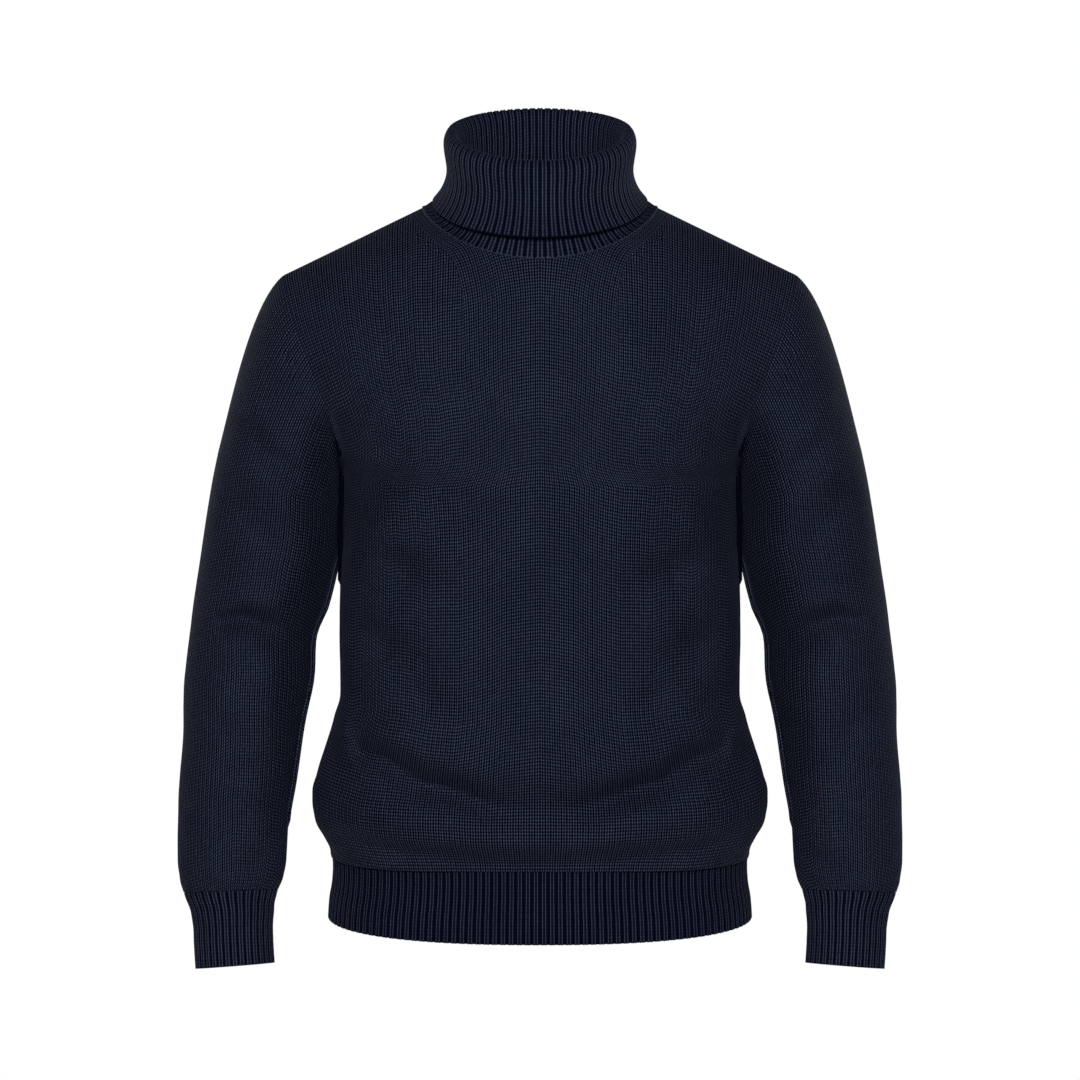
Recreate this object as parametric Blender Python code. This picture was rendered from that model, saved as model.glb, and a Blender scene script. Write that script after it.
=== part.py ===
"""A men's turtleneck sweater in heavy knit, filled out as worn, with nobody in it.

Metres, +Z up, the front facing -Y, the wearer's left at +X. The origin is the middle of the neck opening,
level with the highest points of the shoulders, where the wearer's shoulders carry the sweater.

Every piece is a wall of knitted cloth that follows rings. The torso's rings lie level and are read from
TORSO, the sleeves' rings fan round the armpit and follow the arm, and the collar's rings run up the stand,
over the roll and down the turned-down layer.
"""

import math

import bpy
import numpy as np

WALL = 0.003
SEAM_GAP = 0.0003
SHARP_ANGLE = math.radians(55)
SNAP = 0.0001
DIAGONAL_TIE = 1e-6

# The torso
RING_POWER = 2.3
RIB_TOP_RISE = 0.0
UNDERARM_RISE = 0.370
SHOULDER_RISE = 0.559
SHOULDER_HALF_WIDTH = 0.2406
SHOULDER_SLOPE = 0.482

# The neck opening. A power of 1 makes its edge half an ellipse, and 2 makes it a parabola.
NECK_HALF_WIDTH = 0.109
NECK_SIDE_HEIGHT = 0.0024
NECK_FRONT_HEIGHT = -0.043
NECK_BACK_HEIGHT = 0.0124
NECK_FRONT_POWER = 1.4
NECK_BACK_POWER = 2.0

# How the upper body rounds over to the shoulder seam, front and back
CHEST_ROUND_HEIGHT = 0.240
BACK_ROUND_HEIGHT = 0.068
BACK_ROUND_GAIN = 0.060
BACK_GAIN_REACH = 0.200

# The bottom rib
HEM_HEIGHT = -0.675

# How the sleeve leaves the armhole, at the shoulder tip and at the underarm: how far it keeps its first way,
# how far above its first ring it comes down straight, and that first way as its parts outward and up
CAP_REACH_AT_TIP = 0.038
CAP_REACH_AT_UNDERARM = 0.006
CAP_APPROACH_AT_TIP = 0.055
CAP_APPROACH_AT_UNDERARM = 0.012
CAP_WAY_AT_TIP = (0.78, -0.60)
CAP_WAY_AT_UNDERARM = (0.25, -0.95)
CAP_LEAN = math.radians(15)

# Which way the cloth faces at the seams: the neckline's parts across, forward and up at the front, how much
# further up it faces at the sides, and the armhole's tilt outward and half its depth
NECK_FACES = (0.45, 0.90, 0.35)
NECK_FACES_UP_AT_SIDES = 0.60
ARMHOLE_TILT = 0.12
ARMHOLE_HALF_DEPTH = 0.065

# How finely each piece is cut into facets
NECK_STEPS = 8
SHOULDER_STEPS = 5
ARMHOLE_STEPS = 7
CAP_STEPS = 4
COLLAR_STEPS = 4 * NECK_STEPS
QUARTER_STEPS = 240
RING_STEPS = 360

NAVY = (0.0125, 0.0150, 0.0290, 1.0)
RIB_NAVY = (0.0100, 0.0122, 0.0245, 1.0)
ROUGHNESS = 0.85

# A ring of the torso for each row, from the top of the bottom rib to the level of the shoulder tips. rise is
# the length of cloth from the rib. Above the underarm, half_width is the ring's own, past the armhole's edge.
TORSO_COLUMNS = ("rise", "height", "side_drop", "half_width", "armhole_edge", "front", "back")
TORSO = (
    (0.000, -0.6040, 0.0120, 0.1995, 0.1995, 0.1175, 0.1050),
    (0.008, -0.6062, 0.0100, 0.2003, 0.2003, 0.1262, 0.1130),
    (0.018, -0.6000, 0.0095, 0.2012, 0.2012, 0.1330, 0.1190),
    (0.032, -0.5870, 0.0080, 0.2075, 0.2075, 0.1385, 0.1240),
    (0.050, -0.5695, 0.0060, 0.2162, 0.2162, 0.1405, 0.1262),
    (0.068, -0.5520, 0.0040, 0.2179, 0.2179, 0.1390, 0.1250),
    (0.085, -0.5350, 0.0030, 0.2140, 0.2140, 0.1355, 0.1222),
    (0.110, -0.5100, 0.0010, 0.2057, 0.2057, 0.1385, 0.1195),
    (0.140, -0.4800, 0.0000, 0.1963, 0.1963, 0.1372, 0.1150),
    (0.170, -0.4500, 0.0000, 0.1900, 0.1900, 0.1345, 0.1105),
    (0.220, -0.4000, 0.0000, 0.1908, 0.1908, 0.1310, 0.1060),
    (0.285, -0.3350, 0.0000, 0.1893, 0.1893, 0.1300, 0.1100),
    (0.330, -0.2900, 0.0000, 0.1880, 0.1880, 0.1305, 0.1135),
    (0.370, -0.2500, 0.0000, 0.1870, 0.1870, 0.1310, 0.1160),
    (0.390, -0.2300, 0.0000, 0.1930, 0.1868, 0.1308, 0.1168),
    (0.413, -0.2070, 0.0000, 0.2050, 0.1905, 0.1300, 0.1175),
    (0.455, -0.1650, 0.0000, 0.2320, 0.2050, 0.1285, 0.1180),
    (0.488, -0.1320, 0.0000, 0.2550, 0.2180, 0.1270, 0.1168),
    (0.510, -0.1100, 0.0000, 0.2680, 0.2265, 0.1258, 0.1150),
    (0.535, -0.0850, 0.0000, 0.2800, 0.2340, 0.1245, 0.1120),
    (0.559, -0.0610, 0.0000, 0.2900, 0.2406, 0.1235, 0.1085),
)

# The bottom rib's rings, from its top down. share is how far down the rib the ring lies.
HEM_COLUMNS = ("share", "half_width", "front", "back")
HEM = (
    (0.00, 0.1995, 0.1175, 0.1050),
    (0.12, 0.1985, 0.1165, 0.1040),
    (0.35, 0.1990, 0.1170, 0.1045),
    (0.70, 0.2022, 0.1190, 0.1065),
    (1.00, 0.2036, 0.1200, 0.1075),
)

# The sleeve's rings from the armpit to the end of the cuff, for the wearer's left arm. lean and pitch tilt a
# ring, in degrees: lean raises its outer side, and pitch raises its front.
SLEEVE_COLUMNS = ("run", "across", "deep", "height", "half_across", "half_deep", "lean", "pitch")
SLEEVE = (
    (0.000, 0.2478, 0.0080, -0.2565, 0.0640, 0.0640, 27.0, 0.0),
    (0.036, 0.2520, 0.0160, -0.2925, 0.0662, 0.0640, 19.5, 0.0),
    (0.076, 0.2597, 0.0190, -0.3325, 0.0645, 0.0630, 11.0, 0.0),
    (0.114, 0.2672, 0.0165, -0.3696, 0.0628, 0.0610, 9.0, 2.0),
    (0.149, 0.2755, 0.0105, -0.4043, 0.0589, 0.0590, 7.0, 6.0),
    (0.183, 0.2780, 0.0020, -0.4383, 0.0602, 0.0575, 5.0, 10.0),
    (0.218, 0.2820, -0.0080, -0.4718, 0.0578, 0.0560, 5.0, 12.5),
    (0.252, 0.2845, -0.0175, -0.5051, 0.0551, 0.0535, 5.0, 13.5),
    (0.286, 0.2879, -0.0262, -0.5384, 0.0541, 0.0515, 4.0, 13.5),
    (0.320, 0.2908, -0.0345, -0.5716, 0.0522, 0.0495, 2.0, 13.5),
    (0.354, 0.2916, -0.0428, -0.6047, 0.0514, 0.0480, 0.0, 13.5),
    (0.376, 0.2919, -0.0480, -0.6267, 0.0489, 0.0450, -1.0, 13.5),
    (0.390, 0.2924, -0.0512, -0.6400, 0.0445, 0.0400, -2.0, 13.5),
    (0.396, 0.2921, -0.0526, -0.6460, 0.0424, 0.0375, -2.5, 13.5),
    (0.410, 0.2905, -0.0558, -0.6600, 0.0388, 0.0330, -3.5, 13.5),
    (0.433, 0.2896, -0.0610, -0.6830, 0.0372, 0.0312, -4.0, 13.5),
    (0.459, 0.2878, -0.0670, -0.7085, 0.0371, 0.0310, -4.5, 13.5),
)
CUFF_RUN = 0.390

# The collar's rings along the middle of its wall: up the stand, over the roll, and down to the free edge. The
# first row is only the neck seam's height, which the panels give.
COLLAR_COLUMNS = ("across", "front", "back", "front_height", "side_height", "back_height")
COLLAR = (
    (0.1000, 0.0850, 0.0795, -0.0330, 0.0058, 0.0185),
    (0.0900, 0.0825, 0.0770, -0.0200, 0.0120, 0.0270),
    (0.0795, 0.0765, 0.0720, -0.0020, 0.0250, 0.0430),
    (0.0752, 0.0715, 0.0690, 0.0150, 0.0400, 0.0600),
    (0.0762, 0.0695, 0.0685, 0.0310, 0.0585, 0.0790),
    (0.0785, 0.0710, 0.0700, 0.0405, 0.0700, 0.0895),
    (0.0830, 0.0760, 0.0750, 0.0442, 0.0742, 0.0945),
    (0.0868, 0.0812, 0.0793, 0.0405, 0.0700, 0.0895),
    (0.0884, 0.0840, 0.0810, 0.0300, 0.0595, 0.0785),
    (0.0857, 0.0850, 0.0812, 0.0130, 0.0390, 0.0595),
    (0.0885, 0.0890, 0.0850, -0.0040, 0.0240, 0.0450),
    (0.0932, 0.0937, 0.0895, -0.0145, 0.0150, 0.0370),
    (0.0997, 0.0987, 0.0942, -0.0240, 0.0070, 0.0300),
)

# The largest folds of the torso: soft troughs along straight runs from one point to the next, seen from the
# front or the back, with their depth and half their width.
FOLD_COLUMNS = ("side", "across_1", "height_1", "across_2", "height_2", "depth", "reach")
FOLDS = (
    ("front", -0.060, -0.5330, 0.060, -0.5330, 0.0045, 0.014),
    ("front", 0.060, -0.5330, 0.150, -0.5150, 0.0060, 0.015),
    ("front", -0.060, -0.5330, -0.150, -0.5150, 0.0060, 0.015),
    ("front", 0.180, -0.2830, 0.135, -0.2550, 0.0060, 0.020),
    ("front", -0.180, -0.2830, -0.135, -0.2550, 0.0060, 0.020),
    ("back", -0.110, -0.5300, 0.020, -0.5220, 0.0060, 0.016),
    ("back", 0.010, -0.5000, 0.120, -0.5150, 0.0050, 0.015),
    ("back", -0.100, -0.4100, 0.080, -0.4250, 0.0050, 0.022),
)


def columns_of(names, rows):
    """The rows of a table as one array for each column name."""
    return {name: np.array([row[i] for row in rows]) for i, name in enumerate(names)}


def smooth(places, values, at):
    """Reads a column between its rows along a smooth curve that doesn't overshoot them."""
    steps = np.diff(places)
    rates = np.diff(values) / steps
    slopes = np.zeros(len(values))
    for i in range(1, len(values) - 1):
        if rates[i - 1] * rates[i] > 0:
            slopes[i] = 2 * rates[i - 1] * rates[i] / (rates[i - 1] + rates[i])
    slopes[0] = rates[0]
    slopes[-1] = rates[-1]
    i = int(np.clip(np.searchsorted(places, at) - 1, 0, len(steps) - 1))
    t = (at - places[i]) / steps[i]
    start = values[i] + t * steps[i] * slopes[i]
    end = values[i + 1] - (1 - t) * steps[i] * slopes[i + 1]
    bend = t * t * (3 - 2 * t)
    return float(start + (end - start) * bend)


TORSO_TABLE = columns_of(TORSO_COLUMNS, TORSO)
HEM_TABLE = columns_of(HEM_COLUMNS, HEM)
SLEEVE_TABLE = columns_of(SLEEVE_COLUMNS, SLEEVE)
COLLAR_TABLE = columns_of(COLLAR_COLUMNS, COLLAR)


def torso(rise, column):
    """One size of the torso at this length of cloth above the bottom rib."""
    return smooth(TORSO_TABLE["rise"], TORSO_TABLE[column], rise)


def quarter_ring(half_width, depth, edge):
    """A quarter of a ring from its middle: turns, how far across each is, and its share of the way round."""
    turns = np.linspace(0, math.pi / 2, QUARTER_STEPS + 1)
    across = half_width * np.sin(turns) ** (2 / RING_POWER)
    deep = depth * np.cos(turns) ** (2 / RING_POWER)
    along = np.concatenate(([0], np.cumsum(np.hypot(np.diff(across), np.diff(deep)))))
    return turns, across, along / np.interp(min(edge, half_width), across, along)


def on_quarter(half_width, front, back, edge, share, side):
    """How far across and how deep a share of the way round lies. Front and back share the way across."""
    turns, across, shares = quarter_ring(half_width, (front + back) / 2, edge)
    turn = float(np.interp(abs(share), shares, turns))
    depth = front if side == "front" else back
    deep = depth * max(0.0, math.cos(turn)) ** (2 / RING_POWER)
    return half_width * math.sin(turn) ** (2 / RING_POWER), deep


def ridge_height(across):
    """The shoulder seam's height at this distance from the middle."""
    return NECK_SIDE_HEIGHT - SHOULDER_SLOPE * (abs(across) - NECK_HALF_WIDTH)


def top_height(side, across):
    """Where a panel ends at its top, on the shoulder seam or the neckline."""
    if abs(across) >= NECK_HALF_WIDTH:
        return ridge_height(across)
    inward = math.sqrt(1 - (across / NECK_HALF_WIDTH) ** 2)
    if side == "front":
        return NECK_SIDE_HEIGHT + (NECK_FRONT_HEIGHT - NECK_SIDE_HEIGHT) * inward**NECK_FRONT_POWER
    return NECK_SIDE_HEIGHT + (NECK_BACK_HEIGHT - NECK_SIDE_HEIGHT) * inward**NECK_BACK_POWER


def rounding(side, across, height):
    """How deep the body is below the shoulder, from 0 at the seam to 1 where it is full."""
    if abs(across) < NECK_HALF_WIDTH:
        steepness = SHOULDER_SLOPE / (2 * NECK_HALF_WIDTH)
        top = NECK_SIDE_HEIGHT + steepness * (NECK_HALF_WIDTH**2 - across**2)
    else:
        top = ridge_height(across)
    reach = CHEST_ROUND_HEIGHT
    if side == "back":
        outer_part = min(1.0, abs(across) / BACK_GAIN_REACH)
        reach = BACK_ROUND_HEIGHT + BACK_ROUND_GAIN * outer_part**2 * (3 - 2 * outer_part)
    below = min(1.0, max(0.0, (top - height) / reach))
    return math.sqrt(1 - (1 - below) ** 2)


def fold_depth(side, across, height):
    """How far the folds push the cloth in at a point."""
    total = 0.0
    for fold in FOLDS:
        row = dict(zip(FOLD_COLUMNS, fold))
        if row["side"] != side:
            continue
        run = np.array((row["across_2"] - row["across_1"], row["height_2"] - row["height_1"]))
        to_point = np.array((across - row["across_1"], height - row["height_1"]))
        share = min(1.0, max(0.0, float(to_point @ run) / float(run @ run)))
        away = float(np.linalg.norm(to_point - share * run)) / row["reach"]
        total = max(total, row["depth"] * math.exp(-away * away))
    return total


def torso_point(side, share, rise):
    """A point of the torso. share runs from -1 at the right edge to 1 at the left edge of a panel."""
    sign = -1.0 if side == "front" else 1.0
    sizes = [torso(rise, name) for name in ("half_width", "front", "back", "armhole_edge")]
    x, depth = on_quarter(*sizes, share, side)
    if abs(x - NECK_HALF_WIDTH) < SNAP:
        x = NECK_HALF_WIDTH
    height = torso(rise, "height") - torso(rise, "side_drop") * share * share
    if rise > UNDERARM_RISE:
        part = (rise - UNDERARM_RISE) / (SHOULDER_RISE - UNDERARM_RISE)
        height += (top_height(side, x) - torso(SHOULDER_RISE, "height")) * part * part
        depth *= rounding(side, x, height)
    x = math.copysign(x, share)
    edge = 1 - share * share
    depth -= fold_depth(side, x, height) * min(1.0, 4 * edge)
    return np.array((x, sign * depth, height))


def share_at(across):
    """The share of a panel's top edge that lies this far across."""
    depth = (torso(SHOULDER_RISE, "front") + torso(SHOULDER_RISE, "back")) / 2
    turns, across_at, shares = quarter_ring(torso(SHOULDER_RISE, "half_width"), depth, SHOULDER_HALF_WIDTH)
    return float(np.interp(across, across_at, shares))


def unit(vector):
    return vector / np.linalg.norm(vector)


def neck_normal(turn):
    """The way out of the cloth at the neck seam. turn is 0 at the front and a half turn at the back."""
    across, forward, up = NECK_FACES
    up += NECK_FACES_UP_AT_SIDES * abs(math.sin(turn))
    return unit(np.array((across * math.sin(turn), -forward * math.cos(turn), up)))


def armhole_normal(point, sign):
    """The way out of the cloth at the armhole seam, away from the middle of the hole."""
    top = torso(SHOULDER_RISE, "height")
    bottom = torso(UNDERARM_RISE, "height")
    middle = (top + bottom) / 2
    upward = (point[2] - middle) / ((top - bottom) / 2)
    return unit(np.array((ARMHOLE_TILT * sign * upward, point[1] / ARMHOLE_HALF_DEPTH, upward)))


def panel_shares():
    """The columns of a panel: fine round the neck opening, even along the shoulders."""
    neck = [share_at(NECK_HALF_WIDTH * math.sin(math.pi / 2 * i / NECK_STEPS)) for i in range(NECK_STEPS + 1)]
    shoulder = [neck[-1] + (1 - neck[-1]) * (i + 1) / SHOULDER_STEPS for i in range(SHOULDER_STEPS)]
    half = neck + shoulder
    return [-share for share in reversed(half[1:])] + half


def armhole_rises():
    return list(np.linspace(UNDERARM_RISE, SHOULDER_RISE, ARMHOLE_STEPS + 1))


def panel_rises():
    """The rows of a panel: the torso's own rows below the underarm, and even ones above."""
    below = [row[0] for row in TORSO if row[0] < UNDERARM_RISE]
    return below + armhole_rises()


def outward(grid, closed):
    """The way out of a grid of points, rows upward and columns turning the same way all round."""
    around = np.zeros_like(grid)
    around[:, 1:-1] = grid[:, 2:] - grid[:, :-2]
    around[:, 0] = grid[:, 1] - (grid[:, -1] if closed else grid[:, 0])
    around[:, -1] = (grid[:, 0] if closed else grid[:, -1]) - grid[:, -2]
    upward = np.zeros_like(grid)
    upward[1:-1] = grid[2:] - grid[:-2]
    upward[0] = grid[1] - grid[0]
    upward[-1] = grid[-1] - grid[-2]
    out = np.cross(around, upward)
    return out / np.maximum(np.linalg.norm(out, axis=2, keepdims=True), 1e-9)


def knit_material(name, colour):
    material = bpy.data.materials.new(name)
    material.use_nodes = True
    shader = material.node_tree.nodes["Principled BSDF"]
    shader.inputs["Base Color"].default_value = colour
    shader.inputs["Roughness"].default_value = ROUGHNESS
    shader.inputs["Metallic"].default_value = 0.0
    material.diffuse_color = colour
    return material


def shell(name, outer, inner, closed, colour):
    """A wall of cloth between two grids of points, closed at its rims."""
    rows, columns = outer.shape[:2]
    vertices = np.concatenate((outer.reshape(-1, 3), inner.reshape(-1, 3)))
    inside = rows * columns
    faces = []

    def spot(row, column):
        return row * columns + column % columns

    def add(a, b, c, d):
        """Two facets for four corners, split along their shorter diagonal."""
        first = np.linalg.norm(vertices[a] - vertices[c])
        second = np.linalg.norm(vertices[b] - vertices[d])
        faces.extend(((a, b, c), (a, c, d)) if first < second + DIAGONAL_TIE else ((a, b, d), (b, c, d)))

    for row in range(rows - 1):
        for column in range(columns if closed else columns - 1):
            a = spot(row, column)
            b = spot(row, column + 1)
            c = spot(row + 1, column + 1)
            d = spot(row + 1, column)
            add(a, b, c, d)
            add(inside + d, inside + c, inside + b, inside + a)
    for column in range(columns if closed else columns - 1):
        low = (spot(0, column), spot(0, column + 1))
        high = (spot(rows - 1, column), spot(rows - 1, column + 1))
        add(low[1], low[0], inside + low[0], inside + low[1])
        add(high[0], high[1], inside + high[1], inside + high[0])
    if not closed:
        for row in range(rows - 1):
            right = (spot(row, 0), spot(row + 1, 0))
            left = (spot(row, columns - 1), spot(row + 1, columns - 1))
            add(right[0], right[1], inside + right[1], inside + right[0])
            add(left[1], left[0], inside + left[0], inside + left[1])
    mesh = bpy.data.meshes.new(name)
    mesh.from_pydata([tuple(vertex) for vertex in vertices], [], faces)
    mesh.materials.append(knit_material(name + "_knit", colour))
    mesh.shade_smooth()
    mesh.set_sharp_from_angle(angle=SHARP_ANGLE)
    piece = bpy.data.objects.new(name, mesh)
    bpy.context.scene.collection.objects.link(piece)
    return piece


def panel_normals(side, grid, shares, rises):
    """The way out at each point of a panel, with the seams' own directions along its edges."""
    normals = outward(grid, closed=False)
    if side == "back":
        normals = -normals
    top = len(rises) - 1
    slope = unit(np.array((SHOULDER_SLOPE, 0, 1)))
    for column, share in enumerate(shares):
        x = grid[top, column, 0]
        if abs(x) < NECK_HALF_WIDTH - SNAP:
            turn = math.asin(x / NECK_HALF_WIDTH)
            normals[top, column] = neck_normal(turn if side == "front" else math.pi - turn)
        else:
            normals[top, column] = slope * (math.copysign(1, x), 1, 1)
        if abs(abs(x) - NECK_HALF_WIDTH) < SNAP:
            normals[top, column] = neck_normal(math.copysign(math.pi / 2, x))
        normals[0, column] = unit(normals[1, column] * (1, 1, 0))
    for column, sign in ((0, -1), (len(shares) - 1, 1)):
        for row, rise in enumerate(rises):
            if rise < UNDERARM_RISE - 1e-6:
                normals[row, column] = (sign, 0, 0)
            elif row < top:
                normals[row, column] = armhole_normal(grid[row, column], sign)
            else:
                normals[row, column] = (ARMHOLE_TILT * sign, 0, 1)
    return normals


def make_panel(side):
    """The front or the back: stocking stitch from the bottom rib to the shoulder seams and the neckline."""
    shares = panel_shares()
    rises = panel_rises()
    grid = np.array([[torso_point(side, share, rise) for share in shares] for rise in rises])
    normals = panel_normals(side, grid, shares, rises)
    half_gap = SEAM_GAP / 2 if side == "back" else -SEAM_GAP / 2
    at_seam = np.abs(grid[:, :, 1]) < SEAM_GAP / 2
    outer = grid.copy()
    outer[:, :, 1][at_seam] = half_gap
    inner = outer - WALL * normals
    inner[:, :, 1][at_seam] = half_gap
    if side == "back":
        outer = outer[:, ::-1]
        inner = inner[:, ::-1]
    return shell(side + "_panel", outer, inner, False, NAVY)


def make_hem(side, shares):
    """Half of the bottom rib, below its panel."""
    sign = -1.0 if side == "front" else 1.0
    grid = []
    for level in HEM_TABLE["share"]:
        sizes = [smooth(HEM_TABLE["share"], HEM_TABLE[name], level) for name in HEM_COLUMNS[1:]]
        half_width, front, back = sizes
        row = []
        for share in shares:
            across, depth = on_quarter(half_width, front, back, half_width, share, side)
            top = torso(RIB_TOP_RISE, "height") - torso(RIB_TOP_RISE, "side_drop") * share * share - SEAM_GAP
            row.append((math.copysign(across, share), sign * depth, top + (HEM_HEIGHT - top) * level))
        grid.append(row)
    grid = np.array(grid)[::-1]
    normals = outward(grid, closed=False)
    if side == "back":
        normals = -normals
    panel = np.array([[torso_point(side, share, rise) for share in shares] for rise in panel_rises()])
    normals[-1] = panel_normals(side, panel, shares, panel_rises())[0]
    normals[:, 0] = (-1, 0, 0)
    normals[:, -1] = (1, 0, 0)
    half_gap = SEAM_GAP / 2 if side == "back" else -SEAM_GAP / 2
    at_seam = np.abs(grid[:, :, 1]) < SEAM_GAP / 2
    outer = grid.copy()
    outer[:, :, 1][at_seam] = half_gap
    inner = outer - WALL * normals
    inner[:, :, 1][at_seam] = half_gap
    if side == "back":
        outer = outer[:, ::-1]
        inner = inner[:, ::-1]
    return shell("hem_rib_" + side, outer, inner, False, RIB_NAVY)


def armhole_loop(sign):
    """The armhole's seam from the underarm up the front, over the shoulder tip and down the back."""
    front = [torso_point("front", sign, rise) for rise in armhole_rises()]
    back = [torso_point("back", sign, rise) for rise in armhole_rises()]
    loop = np.array(front + back[-2:0:-1])
    lengths = np.linalg.norm(np.diff(np.concatenate((loop, loop[:1])), axis=0), axis=1)
    shares = np.concatenate(([0], np.cumsum(lengths)[:-1])) / lengths.sum()
    return loop, shares


def sleeve_ring(run, shares, sign):
    """Points of a sleeve's ring, at shares of the way round it from its inner side forward."""
    row = {name: smooth(SLEEVE_TABLE["run"], SLEEVE_TABLE[name], run) for name in SLEEVE_COLUMNS[1:]}
    lean = math.radians(row["lean"])
    pitch = math.radians(row["pitch"])
    centre = np.array((sign * row["across"], row["deep"], row["height"]))
    outer_way = np.array((sign * math.cos(lean), 0, math.sin(lean)))
    front_way = np.array((0, -math.cos(pitch), math.sin(pitch)))
    turns = np.linspace(0, 2 * math.pi, RING_STEPS + 1)
    ring = np.stack((-np.cos(turns) * row["half_across"], np.sin(turns) * row["half_deep"]), axis=1)
    along = np.concatenate(([0], np.cumsum(np.linalg.norm(np.diff(ring, axis=0), axis=1))))
    turn = np.interp(np.array(shares) * along[-1], along, turns)
    outward_part = np.outer(-np.cos(turn) * row["half_across"], outer_way)
    forward_part = np.outer(np.sin(turn) * row["half_deep"], front_way)
    return centre + outward_part + forward_part


def cap_rows(loop, shares, sign):
    """The sleeve's head: rows of points from the armhole to the sleeve's first ring, along smooth curves."""
    first = sleeve_ring(0.0, shares, sign)
    tip = np.sin(math.pi * shares) ** 2
    reach = CAP_REACH_AT_UNDERARM + (CAP_REACH_AT_TIP - CAP_REACH_AT_UNDERARM) * tip
    approach = CAP_APPROACH_AT_UNDERARM + (CAP_APPROACH_AT_TIP - CAP_APPROACH_AT_UNDERARM) * tip
    out, up = (low + (high - low) * tip for low, high in zip(CAP_WAY_AT_UNDERARM, CAP_WAY_AT_TIP))
    leave = np.stack((sign * out, np.zeros_like(tip), up), axis=1)
    leave /= np.linalg.norm(leave, axis=1, keepdims=True)
    down = np.array((sign * math.sin(CAP_LEAN), 0, -math.cos(CAP_LEAN)))
    out_of_hole = loop + leave * reach[:, None]
    above_ring = first - down * approach[:, None]
    rows = []
    for step in range(CAP_STEPS):
        t = step / CAP_STEPS
        early = (1 - t) ** 3 * loop + 3 * (1 - t) ** 2 * t * out_of_hole
        late = 3 * (1 - t) * t * t * above_ring + t**3 * first
        rows.append(early + late)
    return rows


def sleeve_grid(sign):
    """All rows of a sleeve with its cuff, from the armhole down, and the row where the cuff starts."""
    loop, shares = armhole_loop(sign)
    start = loop + np.array((sign * SEAM_GAP, 0, 0))
    runs = [row[0] for row in SLEEVE]
    rows = cap_rows(start, shares, sign) + [sleeve_ring(run, shares, sign) for run in runs]
    return np.array(rows), CAP_STEPS + runs.index(CUFF_RUN)


def make_sleeve(name, cuff_name, sign):
    """A sleeve from its armhole seam to the cuff, and the cuff as a piece of its own."""
    grid, cuff_row = sleeve_grid(sign)
    normals = outward(grid, closed=True) * -sign
    normals[0] = [armhole_normal(point, sign) for point in grid[0]]
    if sign > 0:
        turning = slice(None)
    else:
        turning = slice(None, None, -1)
    sleeve_rows = slice(cuff_row, None, -1)
    outer = grid[sleeve_rows, turning]
    inner = (grid - WALL * normals)[sleeve_rows, turning]
    shell(name, outer, inner, True, NAVY)
    lowered = grid[cuff_row:].copy()
    downward = grid[cuff_row + 1] - grid[cuff_row]
    lowered[0] += downward / np.linalg.norm(downward, axis=1, keepdims=True) * SEAM_GAP
    cuff_normals = normals[cuff_row:]
    outer = lowered[::-1, turning]
    inner = (lowered - WALL * cuff_normals)[::-1, turning]
    shell(cuff_name, outer, inner, True, RIB_NAVY)


def neck_seam(turns):
    """The neck seam's points, from the front round the wearer's left side."""
    points = []
    for turn in turns:
        side = "front" if math.cos(turn) >= 0 else "back"
        x = NECK_HALF_WIDTH * math.sin(turn)
        points.append(torso_point(side, math.copysign(share_at(abs(x)), x), SHOULDER_RISE))
    return np.array(points)


def make_collar():
    """The roll collar, one tube: its stand, the roll at the top and the layer turned down over the stand."""
    turns = [2 * math.pi * i / COLLAR_STEPS for i in range(COLLAR_STEPS)]
    normals = np.array([neck_normal(turn) for turn in turns])
    seam = neck_seam(turns) - normals * WALL / 2 + np.array((0, 0, SEAM_GAP))
    rows = [seam]
    for i in range(len(COLLAR)):
        row = {name: COLLAR_TABLE[name][i] for name in COLLAR_COLUMNS}
        points = []
        for turn in turns:
            cosine = math.cos(turn)
            depth = row["front"] if cosine >= 0 else row["back"]
            end_height = row["front_height"] if cosine >= 0 else row["back_height"]
            height = row["side_height"] + (end_height - row["side_height"]) * abs(cosine)
            points.append((row["across"] * math.sin(turn), -depth * cosine, height))
        rows.append(np.array(points))
    middle = np.array(rows)
    ways = outward(middle, closed=True)
    ways[0] = normals
    return shell("roll_collar", middle + ways * WALL / 2, middle - ways * WALL / 2, True, RIB_NAVY)


def main():
    for old in list(bpy.data.objects):
        bpy.data.objects.remove(old, do_unlink=True)
    for side in ("front", "back"):
        make_panel(side)
        make_hem(side, panel_shares())
    make_sleeve("sleeve_left", "cuff_left", 1)
    make_sleeve("sleeve_right", "cuff_right", -1)
    make_collar()


main()
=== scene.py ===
"""The looks of a men's navy turtleneck sweater in heavy knit, filled out as worn, with nobody in it.

Metres, +Z up, the front facing -Y, the wearer's left at +X. Every knitted piece is a thin shell of two skins
on the form of its solid. Columns of points follow the wales, the upright lines of stitches, and rows follow
the courses, so that wales, ribs and folds are in the mesh, and each stitch is in the materials.
The tables of the form, the folds and the marks are in millimetres, apart from their shares and degrees.
"""

import functools
import math

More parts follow.
